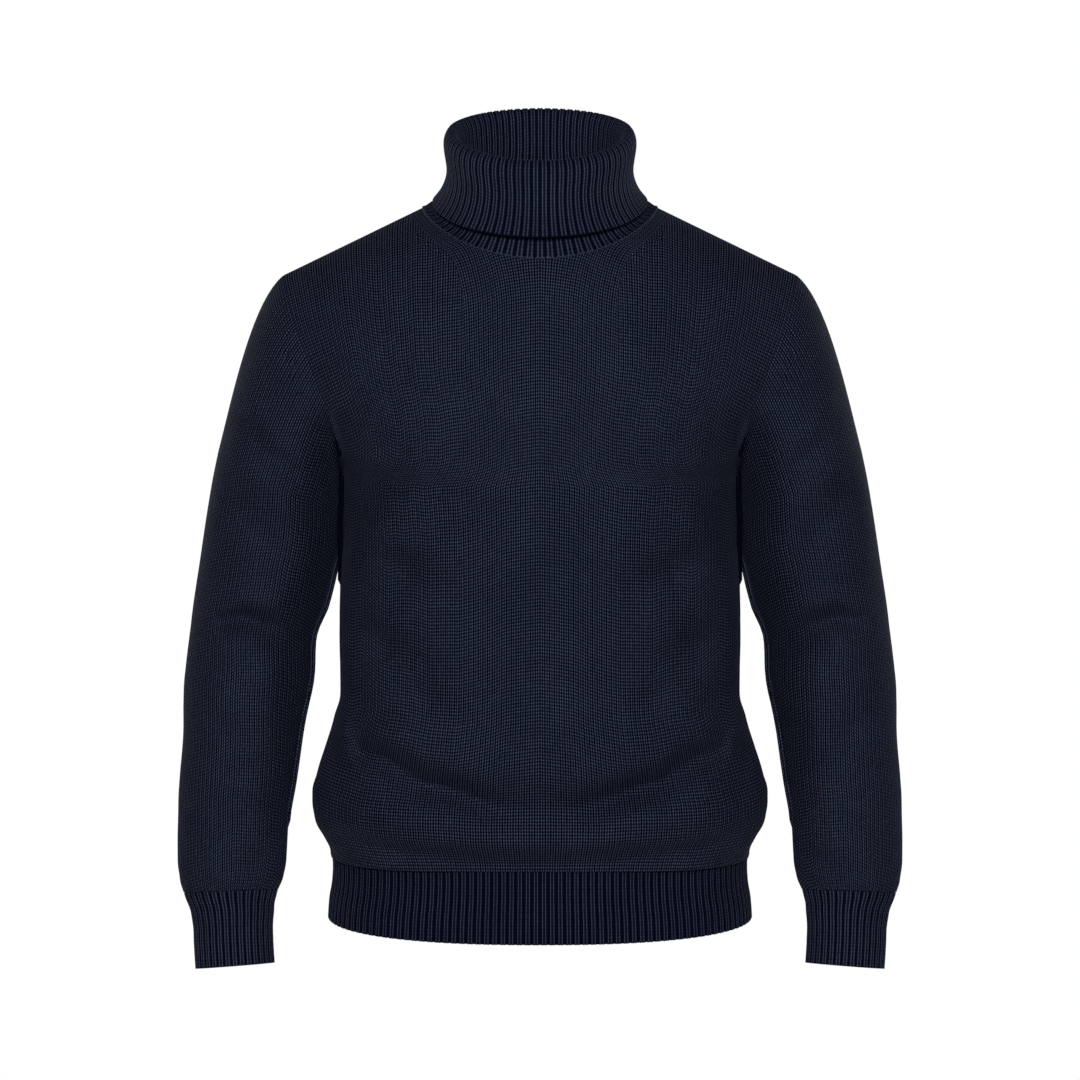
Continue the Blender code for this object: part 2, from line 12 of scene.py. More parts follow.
import bmesh
import bpy
import numpy as np
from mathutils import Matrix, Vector


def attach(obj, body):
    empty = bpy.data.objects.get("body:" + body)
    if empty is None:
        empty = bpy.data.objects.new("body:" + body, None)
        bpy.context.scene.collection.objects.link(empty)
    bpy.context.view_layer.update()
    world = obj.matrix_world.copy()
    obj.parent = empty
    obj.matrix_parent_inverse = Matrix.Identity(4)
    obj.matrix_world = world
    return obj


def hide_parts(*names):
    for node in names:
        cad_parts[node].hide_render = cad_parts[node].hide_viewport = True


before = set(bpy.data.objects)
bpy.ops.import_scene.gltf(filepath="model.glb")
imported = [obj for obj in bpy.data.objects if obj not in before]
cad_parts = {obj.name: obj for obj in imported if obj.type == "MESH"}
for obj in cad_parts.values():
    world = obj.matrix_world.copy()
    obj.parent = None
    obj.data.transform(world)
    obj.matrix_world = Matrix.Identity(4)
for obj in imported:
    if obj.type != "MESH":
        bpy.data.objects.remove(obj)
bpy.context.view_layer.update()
PER_METRE = 1000

# The knit: one wale and one course are one stitch wide and high
COURSE = 0.0031
ROW_STEP = 0.0032
WALE_STEPS = 4
RIB_STEPS = 8
CLOTH = 0.0026
COLLAR_CLOTH = 0.0028
WELD = 0.000002
INNER_ROWS_APART = 3

# How far each column of points stands out across a wale and across a rib of two wales, from the valley on
WALE_RELIEF = np.array((-0.00035, 0.00015, 0.00010, 0.00015))
RIB_RELIEF = np.array((-0.0008, -0.0005, 0.0004, 0.0003, -0.0002, 0.0003, 0.0004, -0.0005))
HEM_RIB_GROWTH = 1.5
SEAM_DIP = 0.0001
SEAM_SHARE = 0.9999

# The torso's form, as its solids have it
RING_POWER = 2.3
UNDERARM_RISE = 0.370
SHOULDER_RISE = 0.559
SHOULDER_HALF_WIDTH = 0.2406
SHOULDER_SLOPE = 0.482
NECK_HALF_WIDTH = 0.109
NECK_SIDE_HEIGHT = 0.0024
NECK_FRONT_HEIGHT = -0.043
NECK_BACK_HEIGHT = 0.0124
NECK_FRONT_POWER = 1.4
CHEST_ROUND_HEIGHT = 0.240
BACK_ROUND_HEIGHT = 0.068
BACK_ROUND_GAIN = 0.060
BACK_GAIN_REACH = 0.200
HEM_HEIGHT = -0.675
TORSO_NORMAL_STEPS = (0.004, 0.002)
HEM_NORMAL_STEPS = (0.004, 0.02)

# The sides stand out a little near the armpits, so that no light shows between the body and the sleeves
SIDE_BULGE = 0.0014
SIDE_BULGE_HEIGHT = -0.290
SIDE_BULGE_REACH = 0.035
SIDE_BULGE_POWER = 8

TORSO_COLUMNS = ("rise", "height", "side_drop", "half_width", "armhole_edge", "front", "back")
TORSO = (
    (0, -604, 12, 199.5, 199.5, 117.5, 105),
    (8, -606.2, 10, 200.3, 200.3, 126.2, 113),
    (18, -600, 9.5, 201.2, 201.2, 133, 119),
    (32, -587, 8, 207.5, 207.5, 138.5, 124),
    (50, -569.5, 6, 216.2, 216.2, 140.5, 126.2),
    (68, -552, 4, 217.9, 217.9, 139, 125),
    (85, -535, 3, 214, 214, 135.5, 122.2),
    (110, -510, 1, 205.7, 205.7, 138.5, 119.5),
    (140, -480, 0, 196.3, 196.3, 137.2, 115),
    (170, -450, 0, 190, 190, 134.5, 110.5),
    (220, -400, 0, 190.8, 190.8, 131, 106),
    (285, -335, 0, 189.3, 189.3, 130, 110),
    (330, -290, 0, 188, 188, 130.5, 113.5),
    (370, -250, 0, 187, 187, 131, 116),
    (390, -230, 0, 193, 186.8, 130.8, 116.8),
    (413, -207, 0, 205, 190.5, 130, 117.5),
    (455, -165, 0, 232, 205, 128.5, 118),
    (488, -132, 0, 255, 218, 127, 116.8),
    (510, -110, 0, 268, 226.5, 125.8, 115),
    (535, -85, 0, 280, 234, 124.5, 112),
    (559, -61, 0, 290, 240.6, 123.5, 108.5),
)

HEM_COLUMNS = ("share", "half_width", "front", "back")
HEM = (
    (0.00, 199.5, 117.5, 105),
    (0.12, 198.5, 116.5, 104),
    (0.35, 199, 117, 104.5),
    (0.70, 202.2, 119, 106.5),
    (1.00, 203.6, 120, 107.5),
)

# The sleeve's form. On its surface share runs round it from its inner side forward, and along runs from
# -CAP_LENGTH at the armhole to 0 at its first ring, and on down the arm
CAP_LENGTH = 0.16
CAP_ROWS = 50
CAP_LEAN = math.radians(15)
CUFF_RUN = 0.390
WRIST_RUN = 0.459
CUFF_GAP = 0.0004
CUFF_GROWTH = (CUFF_RUN - 0.002, CUFF_RUN + 0.006)
# The head's curves at the underarm and at the shoulder tip
CAP_REACH = (0.006, 0.038)
CAP_APPROACH = (0.012, 0.055)
CAP_WAY_OUT = (0.25, 0.78)
CAP_WAY_UP = (-0.95, -0.60)
PAST_THE_SEAM = (-1, 2)
SLEEVE_NORMAL_STEPS = (0.003, 0.002)

SLEEVE_COLUMNS = ("run", "across", "deep", "height", "half_across", "half_deep", "lean", "pitch")
SLEEVE = (
    (0, 247.8, 8, -256.5, 64, 64, 27, 0),
    (36, 252, 16, -292.5, 66.2, 64, 19.5, 0),
    (76, 259.7, 19, -332.5, 64.5, 63, 11, 0),
    (114, 267.2, 16.5, -369.6, 62.8, 61, 9, 2),
    (149, 275.5, 10.5, -404.3, 58.9, 59, 7, 6),
    (183, 278, 2, -438.3, 60.2, 57.5, 5, 10),
    (218, 282, -8, -471.8, 57.8, 56, 5, 12.5),
    (252, 284.5, -17.5, -505.1, 55.1, 53.5, 5, 13.5),
    (286, 287.9, -26.2, -538.4, 54.1, 51.5, 4, 13.5),
    (320, 290.8, -34.5, -571.6, 52.2, 49.5, 2, 13.5),
    (354, 291.6, -42.8, -604.7, 51.4, 48, 0, 13.5),
    (376, 291.9, -48, -626.7, 48.9, 45, -1, 13.5),
    (390, 292.4, -51.2, -640, 44.5, 40, -2, 13.5),
    (396, 292.1, -52.6, -646, 42.4, 37.5, -2.5, 13.5),
    (410, 290.5, -55.8, -660, 38.8, 33, -3.5, 13.5),
    (433, 289.6, -61, -683, 37.2, 31.2, -4, 13.5),
    (459, 287.8, -67, -708.5, 37.1, 31, -4.5, 13.5),
)

# The collar's form along the middle of its wall: up the stand, over the roll, down to the free edge
COLLAR_COLUMNS = ("across", "front", "back", "front_height", "side_height", "back_height")
COLLAR = (
    (100, 85, 79.5, -33, 5.8, 18.5),
    (90, 82.5, 77, -20, 12, 27),
    (79.5, 76.5, 72, -2, 25, 43),
    (75.2, 71.5, 69, 15, 40, 60),
    (76.2, 69.5, 68.5, 31, 58.5, 79),
    (78.5, 71, 70, 40.5, 70, 89.5),
    (83, 76, 75, 44.2, 74.2, 94.5),
    (86.8, 81.2, 79.3, 40.5, 70, 89.5),
    (88.4, 84, 81, 30, 59.5, 78.5),
    (85.7, 85, 81.2, 13, 39, 59.5),
    (88.5, 89, 85, -4, 24, 45),
    (93.2, 93.7, 89.5, -14.5, 15, 37),
    (99.7, 98.7, 94.2, -24, 7, 30),
)
COLLAR_ROWS = 66
COLLAR_GROWTH_REACH = 0.05
NECK_FACES = (0.45, 0.90, 0.35)
NECK_FACES_UP_AT_SIDES = 0.60

# How many wales and ribs there are
CHEST_WALES = 58
SHOULDER_WALES = 52.75
UNDERARM_LOSS = (0.310, 0.470)
SLEEVE_WALES = 44
WRIST_WALES = 36
SLEEVE_LOSS = (0.060, 0.350)
COLLAR_RIBS = 71
HEM_RIBS = 68
HEM_ROWS = 24
HEM_START = 0.004
CUFF_RIBS = 32

# The chain that links the collar on. Its links take their colour from one place across a wale
CHAIN_LINKS = 216
LINK_HALF_SIZE = (0.0018, 0.0006, 0.0006)
LINK_SLANT = math.radians(38)
LINK_WALE = 0.26
LINK_TURN_STEP = 0.01
LINK_POINTS = (9, 6)

# The front's neckline band: the wales that turn along the neckline. Each station gives the band's inner and
# outer edge seen from the front. Wales further out end on the band's outer edge.
BAND_INNER_WALE = 12
BAND_OUTER_WALE = 16
BAND_END_WALE = 28
BEND_RISE = 0.470
BAND_COLUMNS = ("inner_across", "inner_height", "outer_across", "outer_height")
BAND = (
    (51.2, -102.6, 68.4, -102.7),
    (52.1, -77.4, 69.9, -79.6),
    (54.8, -61, 73.5, -61),
    (59.2, -44, 77.8, -47.8),
    (66.5, -30.4, 85.7, -37.5),
    (78, -25.1, 96, -29.7),
    (93, -15.9, 108.2, -18.2),
    (109, 2.4, 122.5, -4.1),
)
BAND_CUTS = (0, 1.6, 5, 8)
BAND_RISE_WEIGHT = 0.25
BAND_UPRIGHT_ROWS = 32
BAND_TURN_ROWS = 18
BAND_LAST_ROWS = 30
CLOTH_ROUNDS = 12
NUDGE = 0.0005

# Folds: chains of stations seen from the front or the back, as across, height, depth and reach. A positive
# depth is a trough, a negative one a ridge, and reach is half its width. The front's and the sleeves' folds
# are there on both sides alike. They fade out towards the seams
FOLDS_FULL_RISE = 0.006
FOLDS_SIDE_GAIN = 12
FOLDS_INNER_FADE = 0.035
FOLDS_SLEEVE_FADE = 0.07
FOLDS_CUFF_FADE = 0.02
FOLDS_CAP_SHARE = 0.8
FRONT_FOLDS = (
    ((0, -552, 7, 16), (36, -548, 12, 16), (60, -539, 17, 15), (82, -531, 20.5, 15), (110, -525, 20.5, 15),
     (146, -505, 19.5, 15), (166, -502, 15, 15), (186, -516, 7, 13)),
    ((0, -596, 16, 14), (60, -595.5, 16.5, 14), (120, -592, 15, 13), (160, -586, 11, 12), (190, -578, 4, 10)),
    ((0, -508, -1.5, 14), (90, -496, -3, 14), (150, -488, -3.5, 14)),
    ((186, -300, 15, 15), (168, -272, 16.5, 15), (134, -244, 4, 15)),
    ((176, -248, -3, 14), (150, -230, -2, 15)),
    ((160, -315, 6, 17), (124, -329, 14, 19), (90, -337, 4, 18)),
    ((170, -388, 8, 16), (142, -400, 15, 17), (112, -412, 4.5, 16)),
    ((130, -434, 4, 15), (104, -445, 9, 16), (78, -452, 2.5, 15)),
    ((192, -205, 10, 16), (196, -250, 30, 20), (198, -300, 34, 22), (197, -345, 18, 20), (196, -380, 6, 16)),
    ((192, -440, -3, 7), (184, -482, -6, 7), (174, -512, -4, 8)),
    ((200, -470, 4.5, 8), (196, -510, 6, 9), (190, -542, 3, 9)),
    ((60, -564, 2, 8), (120, -570, 2.8, 8), (160, -562, 1.5, 8)),
    ((229, -106, 1.5, 4), (223.5, -130, 3.5, 4), (219, -146, 1.5, 4)),
)
BACK_FOLDS = (
    ((-165, -518, 4, 13), (-110, -530, 6.5, 15), (-40, -527, 6, 14), (20, -522, 4, 13)),
    ((10, -501, 3, 13), (70, -507, 6, 15), (120, -515, 6, 14), (172, -506, 3, 12)),
    ((-100, -410, 3.5, 19), (-20, -422, 5.5, 20), (80, -425, 4, 18)),
    ((-150, -464, 2.5, 14), (-90, -476, 4.5, 15), (-30, -474, 1.5, 14)),
    ((150, -456, 4, 14), (100, -470, 3, 14), (60, -469, 1, 14)),
    ((-176, -290, 5.5, 16), (-140, -264, 4, 16), (-115, -242, 1, 16)),
    ((178, -278, 5, 15), (150, -256, 4.5, 16), (122, -226, 1.2, 17)),
    ((-60, -350, 2, 22), (10, -356, 3.2, 22), (70, -348, 1.5, 20)),
)
SLEEVE_FRONT_FOLDS = (
    ((308, -396, 3, 10), (299, -386, 8, 10), (280, -381.5, 12.5, 11), (259, -388, 12.5, 12),
     (238, -409, 8, 12)),
    ((190, -185, 10, 16), (186, -215, 34, 24), (182, -256, 46, 28), (178, -295, 50, 30), (180, -331, 50, 31),
     (190, -368, 46, 31), (202, -405, 42, 31), (208, -440, 36, 28), (214, -475, 34, 27), (220, -510, 32, 26),
     (226, -545, 26, 23), (232, -575, 12, 18)),
    ((302, -366, -1.5, 12), (275, -360, -2.5, 12), (250, -366, -2, 12)),
    ((272, -200, 2.5, 13), (253, -223, 5, 13), (232.7, -245, 5.5, 12), (212, -270, 3, 12)),
    ((276, -160, -1.5, 11), (264, -188, -3, 10), (247, -213, -2.5, 10)),
    ((301, -230, -2, 10), (308, -290, -2.8, 10), (318, -350, -1.2, 10)),
    ((286, -270, 2, 12), (260, -300, 3.6, 12), (240, -330, 2, 12)),
    ((314, -419, 2.5, 8), (296, -427, 3.5, 9), (276, -432, 2, 9)),
    ((318, -470, 2, 10), (295, -480, 3.4, 10), (272, -492, 2, 10)),
    ((304, -529, 1.5, 9), (282, -531, 2.8, 9), (259, -537, 1.5, 9)),
    ((323, -578, 3, 10), (302, -570, 4.2, 10), (278, -566, 2.5, 9)),
    ((290, -610, 2, 9), (270, -608, 4.8, 10), (248, -599, 4.5, 9)),
)
SLEEVE_BACK_FOLDS = (
    ((318, -372, 2, 12), (290, -386, 5, 12), (260, -390, 4, 12)),
    ((320, -430, 2, 12), (285, -420, 4.5, 12), (255, -434, 2.5, 11)),
    ((280, -220, 2, 14), (255, -250, 4.5, 14), (230, -272, 3, 13)),
    ((315, -508, 2, 11), (288, -518, 3.6, 11), (264, -512, 1.8, 10)),
    ((318, -576, 3, 11), (290, -590, 4.5, 11), (262, -584, 3, 10)),
)

# Fashioning marks, where a stitch is carried over its neighbour, as across and height
FRONT_MARKS = ((111.1, -25.3), (102.5, -31.5), (93.9, -37.6), (84.7, -42.9))
SLEEVE_MARKS = ((233.1, -114.4), (234.2, -131.1), (228.8, -139.8), (226.2, -153.7), (222.6, -169.5))
MARKS_IN_FRONT_OF = 0.45
MARK_LENGTH = 0.0034
MARK_WIDTH = 0.0015
MARK_DEPTH = 0.0022
MARK_STITCH_AWAY = 2.0
MARK_STITCH_SHARE = 0.6
MARK_SLANT = -math.radians(52)


def columns_of(names, rows, plain=()):
    """A table as one array for each of its columns, in metres apart from the plain ones."""
    scales = [1 if name in plain else PER_METRE for name in names]
    return {name: np.array([row[i] for row in rows]) / scales[i] for i, name in enumerate(names)}


def smooth(places, values, at):
    """Reads a column between its rows along a smooth curve that doesn't overshoot them."""
    steps = np.diff(places)
    rates = np.diff(values) / steps
    slopes = np.zeros(len(values))
    both = rates[:-1] * rates[1:]
    same_way = both > 0
    slopes[1:-1][same_way] = 2 * both[same_way] / (rates[:-1] + rates[1:])[same_way]
    slopes[0] = rates[0]
    slopes[-1] = rates[-1]
    i = np.clip(np.searchsorted(places, at) - 1, 0, len(steps) - 1)
    t = (at - places[i]) / steps[i]
    start = values[i] + t * steps[i] * slopes[i]
    end = values[i + 1] - (1 - t) * steps[i] * slopes[i + 1]
    return start + (end - start) * t * t * (3 - 2 * t)


def sizes_at(table, at):
    """Every column of a table at these places along its first one."""
    places = next(iter(table.values()))
    return {name: smooth(places, values, at) for name, values in table.items()}


def spline(places, values, at):
    """Reads rows of points between their places along a natural cubic curve through all of them."""
    values = np.asarray(values, float)
    steps = np.diff(places)
    count = len(places)
    rule = np.zeros((count, count))
    right = np.zeros((count,) + values.shape[1:])
    rule[0, 0] = rule[-1, -1] = 1
    shape = (-1,) + (1,) * (values.ndim - 1)
    rates = np.diff(values, axis=0) / steps.reshape(shape)
    for i in range(1, count - 1):
        rule[i, i - 1 : i + 2] = steps[i - 1], 2 * (steps[i - 1] + steps[i]), steps[i]
        right[i] = 6 * (rates[i] - rates[i - 1])
    bends = np.linalg.solve(rule, right.reshape(count, -1)).reshape(right.shape)
    i = np.clip(np.searchsorted(places, at) - 1, 0, count - 2)
    step = steps[i].reshape(shape)
    after = (at - places[i]).reshape(shape)
    before = step - after
    curved = (bends[i] * before**3 + bends[i + 1] * after**3) / (6 * step)
    first = (values[i] / step - bends[i] * step / 6) * before
    second = (values[i + 1] / step - bends[i + 1] * step / 6) * after
    return curved + first + second


def smoothstep(low, high, at):
    t = np.clip((at - low) / (high - low), 0, 1)
    return t * t * (3 - 2 * t)


def between(low, high, t):
    return low + (high - low) * t


def stronger(first, second):
    return np.where(np.abs(first) > np.abs(second), first, second)


def joined(*parts):
    """Arrays side by side, as the coordinates of points."""
    return np.stack(parts, axis=-1)


def unit(vectors):
    return vectors / np.maximum(np.linalg.norm(vectors, axis=-1, keepdims=True), 1e-12)


def summed(steps):
    """The sum of the steps up to each place, from 0 at the first."""
    return np.concatenate(([0], np.cumsum(steps)))


class Table:
    """Values on a grid of two sizes, read in between."""

    def __init__(self, rows_at, columns_at, values):
        self.rows_at = rows_at
        self.columns_at = columns_at
        self.values = np.array(values)

    def read(self, row, column):
        i, s = self.cell(self.rows_at, row)
        j, t = self.cell(self.columns_at, column)
        v = self.values
        return between(between(v[i, j], v[i, j + 1], t), between(v[i + 1, j], v[i + 1, j + 1], t), s)

    @staticmethod
    def cell(places, at):
        step = places[1] - places[0]
        spot = np.clip((at - places[0]) / step, 0, len(places) - 1)
        i = np.minimum(spot.astype(int), len(places) - 2)
        return i, spot - i


TORSO_TABLE = columns_of(TORSO_COLUMNS, TORSO)
HEM_TABLE = columns_of(HEM_COLUMNS, HEM, plain=("share",))
SLEEVE_TABLE = columns_of(SLEEVE_COLUMNS, SLEEVE, plain=("lean", "pitch"))
COLLAR_TABLE = columns_of(COLLAR_COLUMNS, COLLAR)
BAND_TABLE = columns_of(BAND_COLUMNS, BAND)
QUARTER_TURNS = np.linspace(0, math.pi / 2, 481)
WHOLE_TURNS = np.linspace(0, 2 * math.pi, 721)
SHARES = np.linspace(0, 1, 401)
BAND_SPOTS = 801


def ring(half_width, depth, turn):
    """How far across and how deep a ring of the torso is, at a turn from its middle."""
    power = 2 / RING_POWER
    return half_width * np.sin(turn) ** power, depth * np.maximum(0, np.cos(turn)) ** power


def quarter_turns(half_width, depth, edge):
    """The turn round a quarter of a ring at each share of the way from its middle to its edge."""
    across, deep = ring(half_width, depth, QUARTER_TURNS)
    along = summed(np.hypot(np.diff(across), np.diff(deep)))
    shares = along / np.interp(min(edge, half_width), across, along)
    return np.interp(SHARES, shares, QUARTER_TURNS)


def turns_table(table, places, edge):
    """A table of turns for the rings of the torso or of the bottom rib."""
    rows = []
    for at in places:
        size = sizes_at(table, at)
        rows.append(quarter_turns(size["half_width"], (size["front"] + size["back"]) / 2, size[edge]))
    return Table(places, SHARES, rows)


TORSO_TURNS = turns_table(TORSO_TABLE, np.linspace(0, SHOULDER_RISE, 281), "armhole_edge")
HEM_TURNS = turns_table(HEM_TABLE, np.linspace(0, 1, 21), "half_width")


def ridge_height(across):
    """The shoulder seam's height at this distance from the middle."""
    return NECK_SIDE_HEIGHT - SHOULDER_SLOPE * (np.abs(across) - NECK_HALF_WIDTH)


def neckline_height(side, across):
    inward = np.sqrt(np.clip(1 - (across / NECK_HALF_WIDTH) ** 2, 0, 1))
    if side == "front":
        return between(NECK_SIDE_HEIGHT, NECK_FRONT_HEIGHT, inward**NECK_FRONT_POWER)
    return between(NECK_SIDE_HEIGHT, NECK_BACK_HEIGHT, inward**2)


def top_height(side, across):
    """Where a panel ends at its top, on the shoulder seam or the neckline."""
    on_shoulder = np.abs(across) >= NECK_HALF_WIDTH
    return np.where(on_shoulder, ridge_height(across), neckline_height(side, across))


def rounding(side, across, height):
    """How deep the body is below the shoulder, from 0 at the seam to 1 where it is full."""
    steepness = SHOULDER_SLOPE / (2 * NECK_HALF_WIDTH)
    inside = NECK_SIDE_HEIGHT + steepness * (NECK_HALF_WIDTH**2 - across**2)
    top = np.where(np.abs(across) < NECK_HALF_WIDTH, inside, ridge_height(across))
    reach = CHEST_ROUND_HEIGHT
    if side == "back":
        reach = BACK_ROUND_HEIGHT + BACK_ROUND_GAIN * smoothstep(0, BACK_GAIN_REACH, np.abs(across))
    below = np.clip((top - height) / reach, 0, 1)
    return np.sqrt(1 - (1 - below) ** 2)


def fold_push(folds, across, height):
    """How far chains of folds push the cloth in at points seen from the front or the back."""
    total = np.zeros(across.shape)
    for fold in folds:
        push = np.zeros(across.shape)
        stations = np.array(fold) / PER_METRE
        for (x1, z1, depth1, reach1), (x2, z2, depth2, reach2) in zip(stations[:-1], stations[1:]):
            run_x, run_z = x2 - x1, z2 - z1
            t = np.clip(((across - x1) * run_x + (height - z1) * run_z) / (run_x**2 + run_z**2), 0, 1)
            away = np.hypot(across - x1 - t * run_x, height - z1 - t * run_z) / between(reach1, reach2, t)
            push = stronger(between(depth1, depth2, t) * np.exp(-away * away), push)
        total += push
    return total


def torso_points(side, share, rise):
    """Points of the torso. share runs from -1 at a panel's right edge to 1 at its left edge."""
    size = sizes_at(TORSO_TABLE, rise)
    across, depth = ring(size["half_width"], size[side], TORSO_TURNS.read(rise, np.abs(share)))
    height = size["height"] - size["side_drop"] * share * share
    part = np.clip((rise - UNDERARM_RISE) / (SHOULDER_RISE - UNDERARM_RISE), 0, 1)
    height = height + (top_height(side, across) - TORSO_TABLE["height"][-1]) * part * part
    depth = depth * np.where(rise > UNDERARM_RISE, rounding(side, across, height), 1)
    near = np.exp(-(((height - SIDE_BULGE_HEIGHT) / SIDE_BULGE_REACH) ** 2))
    across = np.copysign(across + SIDE_BULGE * near * share**SIDE_BULGE_POWER, share)
    if side == "front":
        push = fold_push(FRONT_FOLDS, np.abs(across), height)
    else:
        push = fold_push(BACK_FOLDS, across, height)
    away_from_side = np.minimum(1, FOLDS_SIDE_GAIN * (1 - share * share))
    depth = depth - push * away_from_side * smoothstep(0, FOLDS_FULL_RISE, rise)
    return joined(across, depth if side == "back" else -depth, height)


def surface(points_of, u, v, u_range, v_range, steps, sign):
    """Points of a surface at its two sizes u and v, and the way out there, from points close by."""
    step_u, step_v = steps
    along_u = points_of(np.clip(u + step_u, *u_range), v) - points_of(np.clip(u - step_u, *u_range), v)
    along_v = points_of(u, np.clip(v + step_v, *v_range)) - points_of(u, np.clip(v - step_v, *v_range))
    return points_of(u, v), unit(np.cross(along_u, along_v)) * sign


def torso_surface(side, share, rise):
    """Points of the torso and the way out there."""
    points_of = functools.partial(torso_points, side)
    sign = 1 if side == "front" else -1
    return surface(points_of, share, rise, (-1, 1), (0, SHOULDER_RISE), TORSO_NORMAL_STEPS, sign)


def to_cloth(seen, rise):
    """The share and rise of the front's points seen at these places, from a first guess of their rise."""
    share = seen[..., 0] / SHOULDER_HALF_WIDTH
    for _ in range(CLOTH_ROUNDS):
        rise = np.minimum(rise, SHOULDER_RISE - NUDGE)
        here = torso_points("front", share, rise)
        by_share = (torso_points("front", share + NUDGE, rise) - here) / NUDGE
        by_rise = (torso_points("front", share, rise + NUDGE) - here) / NUDGE
        miss_x, miss_z = seen[..., 0] - here[..., 0], seen[..., 1] - here[..., 2]
        turned = by_share[..., 0] * by_rise[..., 2] - by_rise[..., 0] * by_share[..., 2]
        share = share + (miss_x * by_rise[..., 2] - by_rise[..., 0] * miss_z) / turned
        rise = rise + (by_share[..., 0] * miss_z - miss_x * by_share[..., 2]) / turned
        share = np.clip(share, 0, 1 - NUDGE)
        rise = np.clip(rise, 0, SHOULDER_RISE)
    return share, rise


class Patch:
    """A grid of points of one skin, with the wale or rib and the course at each."""

    def __init__(self, points, across_count, first_course=0.0):
        self.points = points
        self.base = points
        steps = np.linalg.norm(np.diff(points, axis=0), axis=2)
        lengths = np.concatenate((np.zeros((1, points.shape[1])), np.cumsum(steps, axis=0)))
        self.stitches = joined(np.broadcast_to(across_count, lengths.shape), first_course + lengths / COURSE)

    def raised(self, normals, relief):
        """The patch with its points moved out by this much."""
        self.points = self.base + normals * relief[..., None]
        return self


def fill_corners(bottom, top, left, right):
    """The points of a patch between its four edges (a Coons patch)."""
    u = np.linspace(0, 1, bottom.shape[0])[None, :, None]
    t = np.linspace(0, 1, left.shape[0])[:, None, None]
    corners = between(between(bottom[0], bottom[-1], u), between(top[0], top[-1], u), t)
    return between(left[:, None], right[:, None], u) + between(bottom, top, t) - corners


def wales_at(rise):
    """How many wales half a panel has at this height: some are cast off at the underarm."""
    return between(CHEST_WALES, SHOULDER_WALES, smoothstep(*UNDERARM_LOSS, rise))


def wale_relief(column, share):
    """How far points stand out across the wales, with the last ones sunk towards the seam."""
    relief = np.broadcast_to(WALE_RELIEF[np.abs(column) % WALE_STEPS], share.shape)
    return np.where(np.abs(share) > SEAM_SHARE, -SEAM_DIP, relief)


def mark_push(marks, points):
    """How deep the small pits of fashioning marks are, each beside the stitch carried over it."""
    across, height = np.abs(points[..., 0]), points[..., 2]
    cosine, sine = math.cos(MARK_SLANT), math.sin(MARK_SLANT)
    push = np.zeros(across.shape)
    for x, z in np.array(marks) / PER_METRE:
        along = (across - x) * cosine + (height - z) * sine
        beside = (height - z) * cosine - (across - x) * sine
        pit = np.exp(-((beside / MARK_WIDTH) ** 2))
        stitch = np.exp(-((beside / MARK_WIDTH - MARK_STITCH_AWAY) ** 2))
        push = stronger((pit - MARK_STITCH_SHARE * stitch) * np.exp(-((along / MARK_LENGTH) ** 4)), push)
    return MARK_DEPTH * push


def panel_patch(side, column, share, rise, sunk, first_course=0.0):
    """A patch of a panel with its wales standing out. sunk tells which points lie in a seam or a groove."""
    points, normals = torso_surface(side, share, rise)
    relief = wale_relief(column, share)
    if side == "front":
        relief = relief - mark_push(FRONT_MARKS, points)
    patch = Patch(points, column / WALE_STEPS, first_course)
    return patch.raised(normals, np.where(sunk, -SEAM_DIP, relief))


def panel_grid(last_rise, steps, rows_apart=1):
    """Columns of points, this many to a wale, that run straight up from the bottom rib to this height."""
    column = np.arange(-CHEST_WALES * steps, CHEST_WALES * steps + 1)
    rise = np.linspace(0, last_rise, round(last_rise / ROW_STEP / rows_apart) + 1)[:, None]
    share = np.clip(column / steps / wales_at(rise), -1, 1)
    return column, share, np.broadcast_to(rise, share.shape)


def plain_panel(side, last_rise):
    """The wales of a panel up to this height."""
    column, share, rise = panel_grid(last_rise, WALE_STEPS)
    return panel_patch(side, column, share, rise, rise == SHOULDER_RISE)


def inner_panel(side):
    """The wrong side of a panel, which only shows through the neck and the hem."""
    column, share, rise = panel_grid(SHOULDER_RISE, 1, INNER_ROWS_APART)
    points, normals = torso_surface(side, share, rise)
    return Patch(points - normals * CLOTH, column + 0.5)


def share_at_bend(column):
    """Where columns of points leave the straight wales."""
    return column / WALE_STEPS / SHOULDER_WALES


def band_rows():
    """The band's inner and outer edges seen from the front, at each of its rows."""
    start_share = np.array((BAND_INNER_WALE, BAND_OUTER_WALE)) / SHOULDER_WALES
    start = torso_points("front", start_share, np.full(2, BEND_RISE))
    first = (start[0, 0], start[0, 2], start[1, 0], start[1, 2])
    stations = np.vstack((first, joined(*BAND_TABLE.values())))
    places = np.arange(len(stations), dtype=float)
    dense_at = np.linspace(0, places[-1], BAND_SPOTS)
    dense = spline(places, stations, dense_at)
    length = summed(np.hypot(np.diff(dense[:, 2]), np.diff(dense[:, 3]) * BAND_RISE_WEIGHT))
    counts = (BAND_UPRIGHT_ROWS, BAND_TURN_ROWS, BAND_LAST_ROWS)
    wanted = [np.array([0.0])]
    for low, high, count in zip(BAND_CUTS[:-1], BAND_CUTS[1:], counts):
        ends = np.interp((low, high), dense_at, length)
        wanted.append(np.linspace(*ends, count + 1)[1:])
    return spline(places, stations, np.interp(np.concatenate(wanted), length, dense_at))


